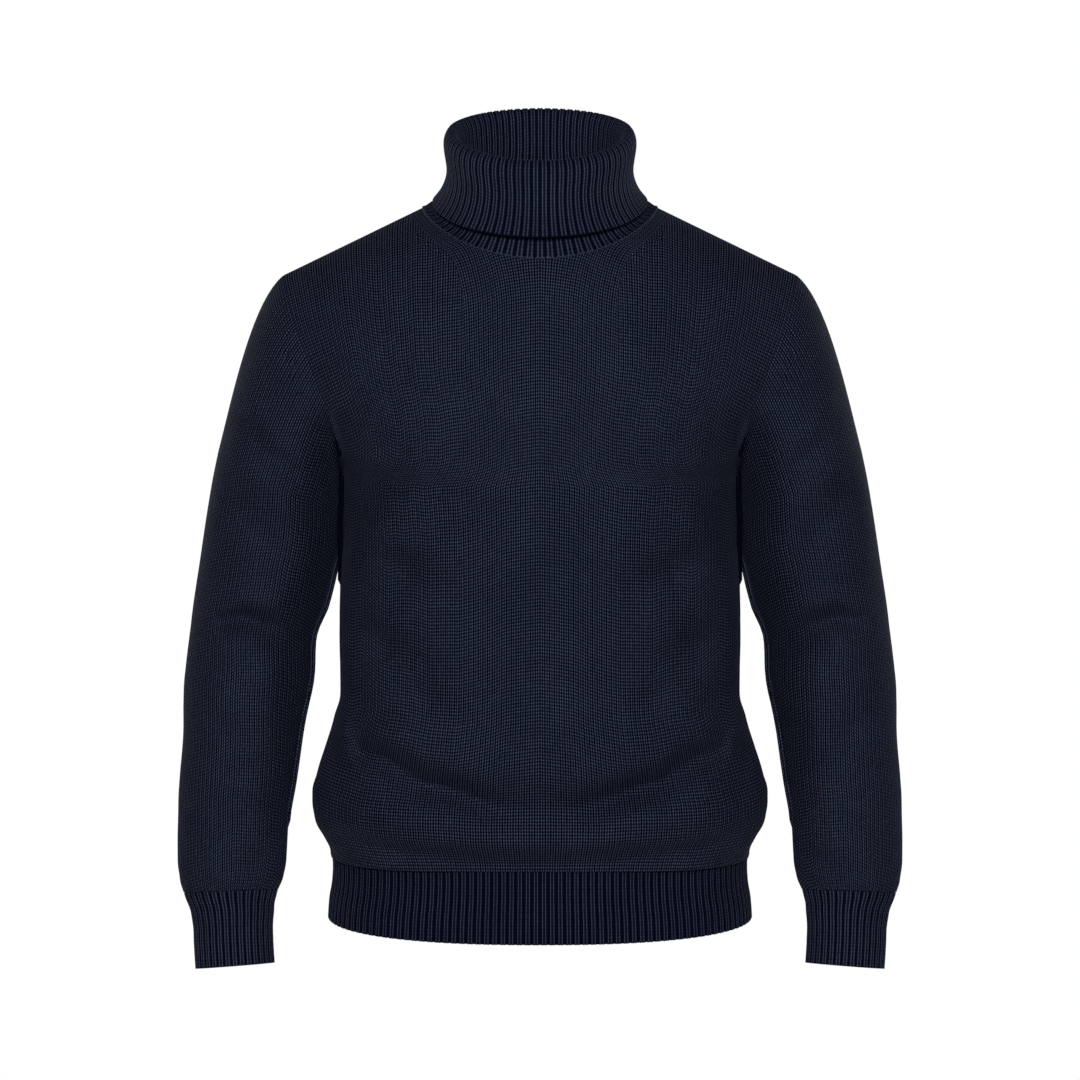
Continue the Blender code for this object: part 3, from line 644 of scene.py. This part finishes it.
def front_patches():
    """The front: straight wales up to the bend, then the middle, the neckline band and the outer wales."""
    lower = plain_panel("front", BEND_RISE)
    band = band_rows()
    inner_column = BAND_INNER_WALE * WALE_STEPS
    outer_column = BAND_OUTER_WALE * WALE_STEPS
    end_column = BAND_END_WALE * WALE_STEPS
    neck_row = BAND_UPRIGHT_ROWS + BAND_TURN_ROWS

    # The middle, between the centre and the band's inner edge
    column = np.arange(0, inner_column + 1)
    start = torso_points("front", share_at_bend(column), np.full(len(column), BEND_RISE))
    end_across = band[neck_row, 0] * column / inner_column
    bottom = start[:, (0, 2)]
    top = joined(end_across, neckline_height("front", end_across))
    right = band[: neck_row + 1, :2]
    top[-1] = right[-1]
    t = np.linspace(0, 1, neck_row + 1)[:, None]
    left = between(bottom[0], top[0], t)
    seen = fill_corners(bottom, top, left, right)
    guess = between(BEND_RISE, SHOULDER_RISE, np.broadcast_to(t, seen.shape[:2]))
    middle_share, middle_rise = to_cloth(seen, guess)
    middle_share[0], middle_rise[0] = share_at_bend(column), BEND_RISE

    # The band, whose rows turn with it
    band_column = np.arange(inner_column, outer_column + 1)
    w = ((band_column - inner_column) / (outer_column - inner_column))[None, :, None]
    seen = between(band[:, None, :2], band[:, None, 2:], w)
    guess = np.linspace(BEND_RISE, SHOULDER_RISE, len(band))[:, None] + np.zeros(len(band_column))
    band_share, band_rise = to_cloth(seen, guess)
    band_share[0], band_rise[0] = share_at_bend(band_column), BEND_RISE
    band_rise[-1] = SHOULDER_RISE
    middle_share[:, -1], middle_rise[:, -1] = band_share[: neck_row + 1, 0], band_rise[: neck_row + 1, 0]

    # The outer wales, which end on the band or on the shoulder seam
    outer_columns = np.arange(outer_column, round(SHOULDER_WALES * WALE_STEPS) + 1)
    bottom = joined(share_at_bend(outer_columns), np.full(len(outer_columns), BEND_RISE))
    edge = joined(band_share[:, -1], band_rise[:, -1])
    seam_share = np.linspace(edge[-1, 0], 1, outer_columns[-1] - end_column + 1)[1:]
    seam = joined(seam_share, np.full(len(seam_share), SHOULDER_RISE))
    top = np.vstack((edge[BAND_UPRIGHT_ROWS:], seam))
    left = edge[: BAND_UPRIGHT_ROWS + 1]
    right = joined(np.ones(len(left)), np.linspace(BEND_RISE, SHOULDER_RISE, len(left)))
    outer = fill_corners(bottom, top, left, right)

    # Each of them on both sides. Their tops lie in a seam, and the band's edges in the grooves along the turn
    patches = [lower]
    band_grooves = ((neck_row, 0), (BAND_UPRIGHT_ROWS, -1))
    for column, share, rise, grooves in (
        (column, middle_share, middle_rise, ()),
        (band_column, band_share, band_rise, band_grooves),
        (outer_columns, outer[..., 0], outer[..., 1], ()),
    ):
        sunk = np.zeros(share.shape, bool)
        sunk[-1] = True
        for row, edge_column in grooves:
            sunk[row:, edge_column] = True
        for way in (1, -1):
            columns = way * column[::way]
            courses = lower.stitches[-1, CHEST_WALES * WALE_STEPS + columns, 1]
            grids = (way * share[:, ::way], rise[:, ::way], sunk[:, ::way])
            patches.append(panel_patch("front", columns, *grids, courses))
    return patches


def armhole_table():
    """The armhole's seam from the underarm up the front, over the shoulder tip and down the back."""
    rise = np.linspace(UNDERARM_RISE, SHOULDER_RISE, 241)
    front = torso_points("front", np.ones(len(rise)), rise)
    back = torso_points("back", np.ones(len(rise)), rise)
    loop = np.concatenate((front, back[-2::-1]))
    along = summed(np.linalg.norm(np.diff(loop, axis=0), axis=1))
    return along / along[-1], loop


def sleeve_turns():
    """A table of turns for the sleeve's rings."""
    runs = np.linspace(0, WRIST_RUN, 121)
    rows = []
    for run in runs:
        size = sizes_at(SLEEVE_TABLE, run)
        across = np.diff(np.cos(WHOLE_TURNS)) * size["half_across"]
        along = summed(np.hypot(across, np.diff(np.sin(WHOLE_TURNS)) * size["half_deep"]))
        rows.append(np.interp(SHARES, along / along[-1], WHOLE_TURNS))
    return Table(runs, SHARES, rows)


ARMHOLE_SHARES, ARMHOLE_LOOP = armhole_table()
SLEEVE_TURNS = sleeve_turns()


def sleeve_ring(share, run):
    """Points of the left sleeve's rings."""
    size = sizes_at(SLEEVE_TABLE, run)
    lean = np.radians(size["lean"])
    pitch = np.radians(size["pitch"])
    turn = SLEEVE_TURNS.read(run, share)
    outward = -np.cos(turn) * size["half_across"]
    forward = np.sin(turn) * size["half_deep"]
    x = size["across"] + outward * np.cos(lean)
    y = size["deep"] - forward * np.cos(pitch)
    z = size["height"] + outward * np.sin(lean) + forward * np.sin(pitch)
    return joined(x, y, z)


def cap_points(share, t):
    """Points of the left sleeve's head, along smooth curves from the armhole to the sleeve's first ring."""
    loop = joined(*(np.interp(share, ARMHOLE_SHARES, places) for places in ARMHOLE_LOOP.T))
    first = sleeve_ring(share, np.zeros(share.shape))
    tip = np.sin(math.pi * share) ** 2
    leave = unit(joined(between(*CAP_WAY_OUT, tip), np.zeros(tip.shape), between(*CAP_WAY_UP, tip)))
    down = np.array((math.sin(CAP_LEAN), 0, -math.cos(CAP_LEAN)))
    out_of_hole = loop + leave * between(*CAP_REACH, tip)[..., None]
    above_ring = first - down * between(*CAP_APPROACH, tip)[..., None]
    t = t[..., None]
    early = (1 - t) ** 3 * loop + 3 * (1 - t) ** 2 * t * out_of_hole
    return early + 3 * (1 - t) * t * t * above_ring + t**3 * first


def sleeve_points(share, along):
    """Points of the left sleeve with its folds. Its share may run past the seam."""
    share = np.where(share == 1, 1, share % 1)
    points = sleeve_ring(share, np.clip(along, 0, WRIST_RUN))
    cap = cap_points(share, np.clip(1 + along / CAP_LENGTH, 0, 1))
    points = np.where((along < 0)[..., None], cap, points)
    across, height = points[..., 0], points[..., 2]
    front_part = smoothstep(0, FOLDS_INNER_FADE, share) * smoothstep(0.5, 0.5 - FOLDS_SLEEVE_FADE, share)
    back_part = smoothstep(0.5, 0.5 + FOLDS_SLEEVE_FADE, share) * smoothstep(1, 1 - FOLDS_SLEEVE_FADE, share)
    push = fold_push(SLEEVE_FRONT_FOLDS, across, height) * front_part
    push = push + fold_push(SLEEVE_BACK_FOLDS, across, height) * back_part
    push = push * smoothstep(CUFF_RUN, CUFF_RUN - FOLDS_CUFF_FADE, along)
    push = push * smoothstep(-CAP_LENGTH, -CAP_LENGTH * FOLDS_CAP_SHARE, along)
    points[..., 1] += push * np.where(share < 0.5, 1, -1)
    return points


def sleeve_surface(share, along, sign):
    """Points of a sleeve and the way out there. sign is 1 for the left one and -1 for the right one."""
    length = (-CAP_LENGTH, WRIST_RUN)
    points, normals = surface(sleeve_points, share, along, PAST_THE_SEAM, length, SLEEVE_NORMAL_STEPS, -1)
    return points * (sign, 1, 1), normals * (sign, 1, 1)


def sleeve_grid(steps, rows_apart=1):
    """Columns of points, this many to a wale, down a sleeve from the armhole to the cuff. They are counted
    from the middle of its outer side."""
    column = np.arange(-SLEEVE_WALES * steps, SLEEVE_WALES * steps + 1)
    cap = np.linspace(-CAP_LENGTH, 0, CAP_ROWS // rows_apart + 1)[:-1]
    arm = np.linspace(0, CUFF_RUN, round(CUFF_RUN / ROW_STEP / rows_apart) + 1)
    along = np.concatenate((cap, arm))[:, None]
    wales = between(SLEEVE_WALES, WRIST_WALES, smoothstep(*SLEEVE_LOSS, along))
    share = np.clip(0.5 + column / steps / wales / 2, 0, 1)
    return column, share, np.broadcast_to(along, share.shape)


def sleeve_patch(sign):
    """The right side of a sleeve."""
    column, share, along = sleeve_grid(WALE_STEPS)
    points, normals = sleeve_surface(share, along, sign)
    front = smoothstep(0.5, MARKS_IN_FRONT_OF, share)
    relief = wale_relief(column, 2 * share - 1) - front * mark_push(SLEEVE_MARKS, points)
    relief[0] = -SEAM_DIP
    return Patch(points, column / WALE_STEPS).raised(normals, relief)


def inner_sleeve(sign):
    """The wrong side of a sleeve."""
    column, share, along = sleeve_grid(1, INNER_ROWS_APART)
    points, normals = sleeve_surface(share, along, sign)
    return Patch(points - normals * CLOTH, column + 0.5)


def rib_relief(column, turned=False):
    """How far points stand out across the ribs. The ribs of the two skins lie half a rib apart."""
    return RIB_RELIEF[(column + RIB_STEPS // 2 * turned) % RIB_STEPS]


def rib_skins(points, normals, column, growth):
    """Both skins of a ribbed piece. growth is how much of their relief the ribs have in each row."""
    outer = Patch(points, column / RIB_STEPS).raised(normals, rib_relief(column) * growth)
    inner = Patch(points - normals * CLOTH, column / RIB_STEPS + 0.5)
    inner.raised(-normals, rib_relief(column, turned=True) * growth)
    inner.points = inner.points[:, ::2]
    inner.stitches = inner.stitches[:, ::2]
    return outer, inner


def cuff_patches(sign):
    """Both skins of a cuff."""
    column = np.arange(0, CUFF_RIBS * RIB_STEPS + 1)
    rows = round((WRIST_RUN - CUFF_RUN) / ROW_STEP)
    along = np.linspace(CUFF_RUN + CUFF_GAP, WRIST_RUN, rows + 1)[:, None]
    share, along = np.broadcast_arrays(column / column[-1], along)
    points, normals = sleeve_surface(share, along, sign)
    return rib_skins(points, normals, column, smoothstep(*CUFF_GROWTH, along))


def hem_points(side, share, level):
    """Points of the bottom rib. level runs from 0 at its top to 1 at its free edge."""
    size = sizes_at(HEM_TABLE, level)
    across, depth = ring(size["half_width"], size[side], HEM_TURNS.read(level, np.abs(share)))
    top = TORSO_TABLE["height"][0] - TORSO_TABLE["side_drop"][0] * share * share
    height = between(top, HEM_HEIGHT, level)
    return joined(np.copysign(across, share), depth if side == "back" else -depth, height)


def hem_patches(side):
    """Both skins of half of the bottom rib."""
    column = np.arange(0, HEM_RIBS * RIB_STEPS + 1)
    level = np.linspace(HEM_START, 1, HEM_ROWS + 1)[:, None]
    share, level = np.broadcast_arrays(2 * column / column[-1] - 1, level)
    points_of = functools.partial(hem_points, side)
    sign = -1 if side == "front" else 1
    points, normals = surface(points_of, share, level, (-1, 1), (0, 1), HEM_NORMAL_STEPS, sign)
    return rib_skins(points, normals, column, HEM_RIB_GROWTH)


def neck_normal(turn):
    """The way out of the cloth at the neck seam. turn is 0 at the front and a half turn at the back."""
    across, forward, up = NECK_FACES
    up = up + NECK_FACES_UP_AT_SIDES * np.abs(np.sin(turn))
    return unit(joined(across * np.sin(turn), -forward * np.cos(turn), up))


def neck_seam(turn):
    """The neck seam's points, from the front round the wearer's left side."""
    across = NECK_HALF_WIDTH * np.sin(turn)
    top = torso_points("front", SHARES, np.full(len(SHARES), SHOULDER_RISE))[:, 0]
    share = np.copysign(np.interp(np.abs(across), top, SHARES), across)
    rise = np.full(turn.shape, SHOULDER_RISE)
    front = torso_points("front", share, rise)
    back = torso_points("back", share, rise)
    return np.where((np.cos(turn) >= 0)[..., None], front, back)


def collar_middle(turn, rows):
    """Points along the middle of the collar's wall. rows run from 0 at the seam to 1 at the free edge."""
    stations = [neck_seam(turn) - neck_normal(turn) * COLLAR_CLOTH / 2]
    cosine = np.cos(turn)
    for i in range(len(COLLAR)):
        row = {name: values[i] for name, values in COLLAR_TABLE.items()}
        depth = np.where(cosine >= 0, row["front"], row["back"])
        end_height = np.where(cosine >= 0, row["front_height"], row["back_height"])
        height = between(row["side_height"], end_height, np.abs(cosine))
        stations.append(joined(row["across"] * np.sin(turn), -depth * cosine, height))
    stations = np.array(stations)
    lengths = summed(np.linalg.norm(np.diff(stations, axis=0), axis=2).mean(axis=1))
    return spline(lengths, stations, lengths[-1] * rows)


def collar_patches():
    """Both skins of the roll collar, whose ribs run from the neck seam over the roll to the free edge."""
    column = np.arange(0, COLLAR_RIBS * RIB_STEPS + 1)
    rows = np.linspace(0, 1, COLLAR_ROWS + 1)
    middle = collar_middle(2 * math.pi * column / column[-1], rows)
    around = np.zeros(middle.shape)
    around[:, 1:-1] = middle[:, 2:] - middle[:, :-2]
    around[:, 0] = around[:, -1] = middle[:, 1] - middle[:, -2]
    ways = unit(np.cross(around, np.gradient(middle, axis=0)))
    growth = smoothstep(-COLLAR_GROWTH_REACH, COLLAR_GROWTH_REACH, rows)[:, None]
    stand = Patch(middle + ways * COLLAR_CLOTH / 2, column / RIB_STEPS + 0.5)
    stand.raised(ways, rib_relief(column, turned=True) * growth)
    turned = Patch(middle - ways * COLLAR_CLOTH / 2, column / RIB_STEPS)
    return stand, turned.raised(-ways, rib_relief(column) * growth)


def chain_links():
    """The chain that links the collar on: a zigzag of small links along the neck seam."""
    around, along = LINK_POINTS
    across, around = np.meshgrid(np.linspace(0, 2 * math.pi, around), np.linspace(0, math.pi, along))
    ball = joined(-np.cos(around), np.sin(around) * np.cos(across), np.sin(around) * np.sin(across))
    ball = ball * LINK_HALF_SIZE
    turns = np.linspace(0, 2 * math.pi, CHAIN_LINKS + 1)[:-1]
    seam = neck_seam(turns)
    ways = unit(neck_seam(turns + LINK_TURN_STEP) - neck_seam(turns - LINK_TURN_STEP))
    outs = neck_normal(turns)
    links = []
    for i, out in enumerate(outs):
        beside = np.cross(out, ways[i])
        slant = LINK_SLANT if i % 2 else -LINK_SLANT
        along = ways[i] * math.cos(slant) + beside * math.sin(slant)
        turned = ball @ np.stack((along, np.cross(out, along), out))
        links.append(Patch(seam[i] + out * LINK_HALF_SIZE[2] + turned, LINK_WALE))
    return links


def add_patch(bm, patch):
    """Adds a patch's points and faces to a mesh in the making."""
    rows, columns = patch.points.shape[:2]
    spots = np.arange(rows * columns).reshape(rows, columns)
    corners = joined(spots[:-1, :-1], spots[:-1, 1:], spots[1:, 1:], spots[1:, :-1]).reshape(-1, 4)
    stitches = patch.stitches.reshape(-1, 2)
    mesh = bpy.data.meshes.new("patch")
    mesh.from_pydata(patch.points.reshape(-1, 3).tolist(), [], corners.tolist())
    layer = mesh.uv_layers.new(name="stitches")
    layer.data.foreach_set("uv", stitches[corners.ravel()].ravel().astype(np.float32))
    bm.from_mesh(mesh)
    bpy.data.meshes.remove(mesh)


def rims(bm):
    """The open edges of a mesh in the making, as closed loops of points."""
    following = {}
    for edge in bm.edges:
        if edge.is_boundary:
            loop = edge.link_loops[0]
            following[loop.vert] = loop.link_loop_next.vert
    loops = []
    while following:
        start = next(iter(following))
        loop = [start]
        step = following.pop(start)
        while step is not start and step in following:
            loop.append(step)
            step = following.pop(step)
        loops.append(loop)
    return loops


def middle_of(loop):
    return sum((point.co for point in loop), Vector()) / len(loop)


def turning(loop, middle):
    """The way a loop of points turns round a middle."""
    return sum(((a.co - middle).cross(b.co - middle) for a, b in zip(loop, loop[1:])), Vector())


def close_rim(bm, first, second):
    """Joins two closed loops of points with a band of triangles."""
    start = min(range(len(second)), key=lambda i: (second[i].co - first[0].co).length)
    second = second[start:] + second[:start]
    middle = middle_of(first)
    if turning(first, middle).dot(turning(second, middle)) < 0:
        second = second[:1] + second[:0:-1]
    first = first + first[:1]
    second = second + second[:1]
    i = j = 0
    while i < len(first) - 1 or j < len(second) - 1:
        go_first = j == len(second) - 1 or (
            i < len(first) - 1
            and (first[i + 1].co - second[j].co).length <= (first[i].co - second[j + 1].co).length
        )
        if go_first:
            bm.faces.new((first[i + 1], first[i], second[j]))
            i += 1
        else:
            bm.faces.new((first[i], second[j], second[j + 1]))
            j += 1


def add_object(name, data):
    thing = bpy.data.objects.new(name, data)
    bpy.context.scene.collection.objects.link(thing)
    return thing


def make_cloth(name, outer, inner, material):
    """A closed shell of two skins from their patches."""
    bm = bmesh.new()
    counts = []
    for patches in (outer, inner):
        skin = bmesh.new()
        for patch in patches:
            add_patch(skin, patch)
        bmesh.ops.remove_doubles(skin, verts=skin.verts, dist=WELD)
        mesh = bpy.data.meshes.new("skin")
        skin.to_mesh(mesh)
        skin.free()
        bm.from_mesh(mesh)
        bpy.data.meshes.remove(mesh)
        counts.append(len(bm.verts))
    bm.verts.index_update()
    for edge in bm.edges:
        edge.smooth = not edge.is_boundary
    loops = rims(bm)
    inner_loops = [loop for loop in loops if loop[0].index >= counts[0]]
    for loop in loops:
        if loop[0].index < counts[0]:
            middle = middle_of(loop)
            close_rim(bm, loop, min(inner_loops, key=lambda other: (middle_of(other) - middle).length))
    bmesh.ops.recalc_face_normals(bm, faces=bm.faces)
    mesh = bpy.data.meshes.new(name)
    bm.to_mesh(mesh)
    bm.free()
    mesh.shade_smooth()
    mesh.materials.append(material)
    return add_object(name, mesh)


def set_values(sockets, values):
    for name, value in values.items():
        sockets[name].default_value = value


class Wiring:
    """Short ways to add and join the nodes of a material."""

    COLOURS_IN = (6, 7)
    COLOUR_OUT = 2

    def __init__(self, material):
        material.use_nodes = True
        self.tree = material.node_tree
        self.shader = self.tree.nodes["Principled BSDF"]

    def node(self, kind, **settings):
        node = self.tree.nodes.new("ShaderNode" + kind)
        for name, value in settings.items():
            setattr(node, name, value)
        return node

    def join(self, source, target):
        if isinstance(source, (int, float, tuple)):
            target.default_value = source
        else:
            self.tree.links.new(source, target)

    def math(self, operation, first, second=0.0):
        node = self.node("Math", operation=operation)
        self.join(first, node.inputs[0])
        self.join(second, node.inputs[1])
        return node.outputs[0]

    def times(self, first, second):
        return self.math("MULTIPLY", first, second)

    def spread(self, value, low, high, out_low, out_high):
        """value from low..high spread over out_low..out_high, smoothly and kept inside."""
        node = self.node("MapRange", interpolation_type="SMOOTHSTEP")
        for socket, number in zip(node.inputs, (value, low, high, out_low, out_high)):
            self.join(number, socket)
        return node.outputs[0]

    def noise(self, vector, scale, detail):
        node = self.node("TexNoise")
        self.join(vector, node.inputs["Vector"])
        set_values(node.inputs, {"Scale": scale, "Detail": detail})
        return node.outputs["Fac"]

    def mix(self, factor, first, second):
        node = self.node("Mix", data_type="RGBA")
        self.join(factor, node.inputs["Factor"])
        for i, colour in zip(self.COLOURS_IN, (first, second)):
            self.join(colour, node.inputs[i])
        return node.outputs[self.COLOUR_OUT]


# The yarn's colours: first a painted shade, dark between the stitches where the yarn would shade itself, then
# the yarn on top of them in two shades, and paler loose fibres
PLAIN_COLOURS_AND_SHADE = (
    (0.0008, 0.0013, 0.0060, 1.0),
    (0.0480, 0.0610, 0.0980, 1.0),
    (0.0480, 0.0550, 0.0940, 1.0),
    (0.0750, 0.0900, 0.1350, 1.0),
)
RIB_COLOURS_AND_SHADE = (
    (0.0020, 0.0027, 0.0090, 1.0),
    (0.0275, 0.0335, 0.0570, 1.0),
    (0.0275, 0.0305, 0.0550, 1.0),
    (0.0450, 0.0530, 0.0840, 1.0),
)
# How fast the colour falls from the yarn to the painted shade towards the gaps and grooves
TONE_POWER = 1.5

# A stitch's two legs across a wale, from 0 at the wale's middle to 1 at its edge: the groove between the legs
# lies between the first two numbers, and the gap to the next wale between the others. In a rib of two wales
# each wale shows as one thin line, beside a wide purl valley. The bottom rib is pulled wider, and its wider
# dark valleys are also painted shade, as if the fold above shaded it.
PLAIN_LEG = (0.08, 0.46, 0.54, 0.90)
RIB_LEG = (0.12, 0.38, 0.46, 0.72)
HEM_RIB_SHADED_LEG = (0.18, 0.38, 0.42, 0.60)
STITCH_SLANT = 0.30

# Each knit's colours and legs, how high the yarn is in the groove, where across a wale its stitches slant
# from, and how high the yarn is between two courses
PLAIN_KNIT = (PLAIN_COLOURS_AND_SHADE, PLAIN_LEG, 0.15, 0.0, 0.16)
RIB_KNIT = (RIB_COLOURS_AND_SHADE, RIB_LEG, 0.14, 0.4, 0.60)
# The bottom rib's copy of the rib knit: darker with its wider valleys, partly from its stretch and partly as
# painted shade under the fold above
HEM_RIB_SHADED_KNIT = (RIB_COLOURS_AND_SHADE, HEM_RIB_SHADED_LEG, 0.14, 0.4, 0.60)

# Noises, as scale and detail, and what they make: where in the noise from and to, and how much from and to
FIBRES = (1400.0, 3.0)
STRANDS = (330.0, 1.0)
CLOUDS = (22.0, 2.0)
SHADES = (60.0, 2.0)
STRAND_TONES = (0.3, 0.7, 0.70, 1.0)
CLOUD_TONES = (0.3, 0.7, 0.84, 1.0)
SECOND_SHADE = (0.40, 0.62, 0.0, 1.0)
SPECKS = (0.54, 0.76, 0.0, 0.5)
FIBRE_RELIEF = 0.20
BUMP = {"Strength": 0.30, "Distance": 0.0006}
FINISH = {
    "Specular Tint": (0.60, 0.72, 1.0, 1.0),
    "Roughness": 0.78,
    "Sheen Weight": 0.02,
    "Sheen Roughness": 0.40,
    "Sheen Tint": (0.55, 0.60, 0.95, 1.0),
}


def knit_material(name, colours, leg_places, groove, slant_from, low):
    """Knitted wool: legs of stitches from the wale and course at each point, painted shade between them,
    fibres and a faint sheen.
    """
    # deep is painted shade: the colour laid where the yarn would shade itself between the stitches
    deep, first_yarn, second_yarn, pale = colours
    material = bpy.data.materials.new(name)
    wires = Wiring(material)
    inputs = wires.shader.inputs
    stitches = wires.node("UVMap", uv_map="stitches")
    parts = wires.node("SeparateXYZ")
    wires.join(stitches.outputs[0], parts.inputs[0])
    wale, course = parts.outputs[0], parts.outputs[1]
    across = wires.math("SUBTRACT", 1.0, wires.times(wires.math("PINGPONG", wale, 0.5), 2.0))
    groove_start, groove_end, leg_end, gap = leg_places
    leg = wires.spread(across, leg_end, gap, 1.0, 0.0)
    leg = wires.times(leg, wires.spread(across, groove_start, groove_end, groove, 1.0))
    slant = wires.math("ABSOLUTE", wires.math("SUBTRACT", across, slant_from))
    slanted = wires.math("SUBTRACT", course, wires.times(slant, STITCH_SLANT))
    lobe = wires.times(wires.math("PINGPONG", slanted, 0.5), 2.0)
    height = wires.times(leg, wires.math("ADD", low, wires.times(lobe, 1 - low)))
    place = wires.node("TexCoord").outputs["Object"]
    fibres, strands = wires.noise(place, *FIBRES), wires.noise(place, *STRANDS)
    clouds, shades = wires.noise(place, *CLOUDS), wires.noise(place, *SHADES)

    # The stitches' height as a tone, with random strand and cloud tones: a low tone gives the painted shade
    # in the gaps and grooves, a high tone gives the yarn
    tone_and_painted_shade = wires.math("POWER", height, TONE_POWER)
    tone_and_painted_shade = wires.times(tone_and_painted_shade, wires.spread(strands, *STRAND_TONES))
    tone_and_painted_shade = wires.times(tone_and_painted_shade, wires.spread(clouds, *CLOUD_TONES))
    yarn = wires.mix(wires.spread(shades, *SECOND_SHADE), first_yarn, second_yarn)
    specks = wires.times(wires.spread(fibres, *SPECKS), height)
    wires.join(wires.mix(specks, wires.mix(tone_and_painted_shade, deep, yarn), pale), inputs["Base Color"])
    wires.join(tone_and_painted_shade, inputs["Specular IOR Level"])

    bump = wires.node("Bump")
    wires.join(wires.math("ADD", height, wires.times(fibres, FIBRE_RELIEF)), bump.inputs["Height"])
    wires.join(bump.outputs[0], inputs["Normal"])
    set_values(bump.inputs, BUMP)
    set_values(inputs, FINISH)
    return material


# The photograph's view
CAMERA_PLACE = (0.0, -2.80, 0.03)
CAMERA_AIM = (0.0, 0.0, -0.312)
CAMERA_LENS = 98.97
SENSOR = 36.0

# Light: a soft key in front and a little above, a weak wide light at each side in front and above, a wide rim
# light at each side from behind, and a dim room that is white where the camera sees it. Each light has its
# place, its aim, its size and its power.
LIGHTS = {
    "key": ((0.0, -3.0, 0.60), (0.0, 0.0, -0.30), 0.7, 84.0),
    "left_top": ((-2.2, -1.5, 1.3), (0.0, 0.0, -0.25), 1.0, 8.0),
    "right_top": ((2.2, -1.5, 1.3), (0.0, 0.0, -0.25), 1.0, 8.0),
    "left_rim": ((-2.2, 1.5, 0.3), (0.0, 0.0, -0.35), 1.0, 20.0),
    "right_rim": ((2.2, 1.5, 0.3), (0.0, 0.0, -0.35), 1.0, 20.0),
}
ROOM_LIGHT = 0.02
ROOM_SEEN = 1.0
WHITE = (1, 1, 1, 1)
FLOOR_HEIGHT = -1.45
FLOOR_HALF_SIZE = 1.6
FLOOR_LOOK = {"Base Color": (0.9, 0.9, 0.9, 1), "Roughness": 0.9}


def aimed(name, data, place, aim):
    """A camera or a light in its place, turned towards its aim."""
    thing = add_object(name, data)
    thing.location = place
    thing.rotation_euler = (Vector(aim) - Vector(place)).to_track_quat("-Z", "Y").to_euler()
    return thing


def make_camera():
    data = bpy.data.cameras.new("camera")
    data.lens = CAMERA_LENS
    data.sensor_width = SENSOR
    bpy.context.scene.camera = aimed("camera", data, CAMERA_PLACE, CAMERA_AIM)


def make_light():
    for name, (place, aim, size, power) in LIGHTS.items():
        data = bpy.data.lights.new(name, "AREA")
        data.size = size
        data.energy = power
        aimed(name, data, place, aim)
    world = bpy.data.worlds.new("room")
    world.use_nodes = True
    tree = world.node_tree
    path = tree.nodes.new("ShaderNodeLightPath")
    strength = tree.nodes.new("ShaderNodeMapRange")
    set_values(strength.inputs, {"To Min": ROOM_LIGHT, "To Max": ROOM_SEEN})
    tree.links.new(path.outputs["Is Camera Ray"], strength.inputs["Value"])
    background = tree.nodes["Background"].inputs
    set_values(background, {"Color": WHITE})
    tree.links.new(strength.outputs[0], background["Strength"])
    bpy.context.scene.world = world
    bpy.context.scene.view_settings.view_transform = "Standard"


def make_floor():
    mesh = bpy.data.meshes.new("floor")
    ways = ((-1, -1), (1, -1), (1, 1), (-1, 1))
    corners = [(x * FLOOR_HALF_SIZE, y * FLOOR_HALF_SIZE, FLOOR_HEIGHT) for x, y in ways]
    mesh.from_pydata(corners, [], [(0, 1, 2, 3)])
    material = bpy.data.materials.new("floor_pale")
    material.use_nodes = True
    set_values(material.node_tree.nodes["Principled BSDF"].inputs, FLOOR_LOOK)
    mesh.materials.append(material)
    add_object("floor", mesh)


def tie(piece, node):
    """Ties a piece to the frame."""
    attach(piece, "root")
    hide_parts(node)


def main():
    make_camera()
    make_light()
    make_floor()
    body = knit_material("body_knit", *PLAIN_KNIT)
    rib = knit_material("rib_knit", *RIB_KNIT)
    # The bottom rib's material is the rib knit with wider dark valleys: partly its stretch, partly painted
    # shade under the fold above
    hem_rib = knit_material("hem_rib_knit_shaded", *HEM_RIB_SHADED_KNIT)

    front = make_cloth("front_knit", front_patches(), [inner_panel("front")], body)
    tie(front, "front_panel")
    back = make_cloth("back_knit", [plain_panel("back", SHOULDER_RISE)], [inner_panel("back")], body)
    tie(back, "back_panel")

    for side in ("front", "back"):
        outer, inner = hem_patches(side)
        hem = make_cloth("hem_" + side, [outer], [inner], hem_rib)
        tie(hem, "hem_rib_" + side)
    for side, sign in (("left", 1), ("right", -1)):
        sleeve = make_cloth("sleeve_" + side + "_knit", [sleeve_patch(sign)], [inner_sleeve(sign)], body)
        tie(sleeve, "sleeve_" + side)
        outer, inner = cuff_patches(sign)
        cuff = make_cloth("cuff_" + side + "_rib", [outer], [inner], rib)
        tie(cuff, "cuff_" + side)
    stand, turned = collar_patches()
    collar = make_cloth("collar_rib", [stand] + chain_links(), [turned], rib)
    tie(collar, "roll_collar")


main()
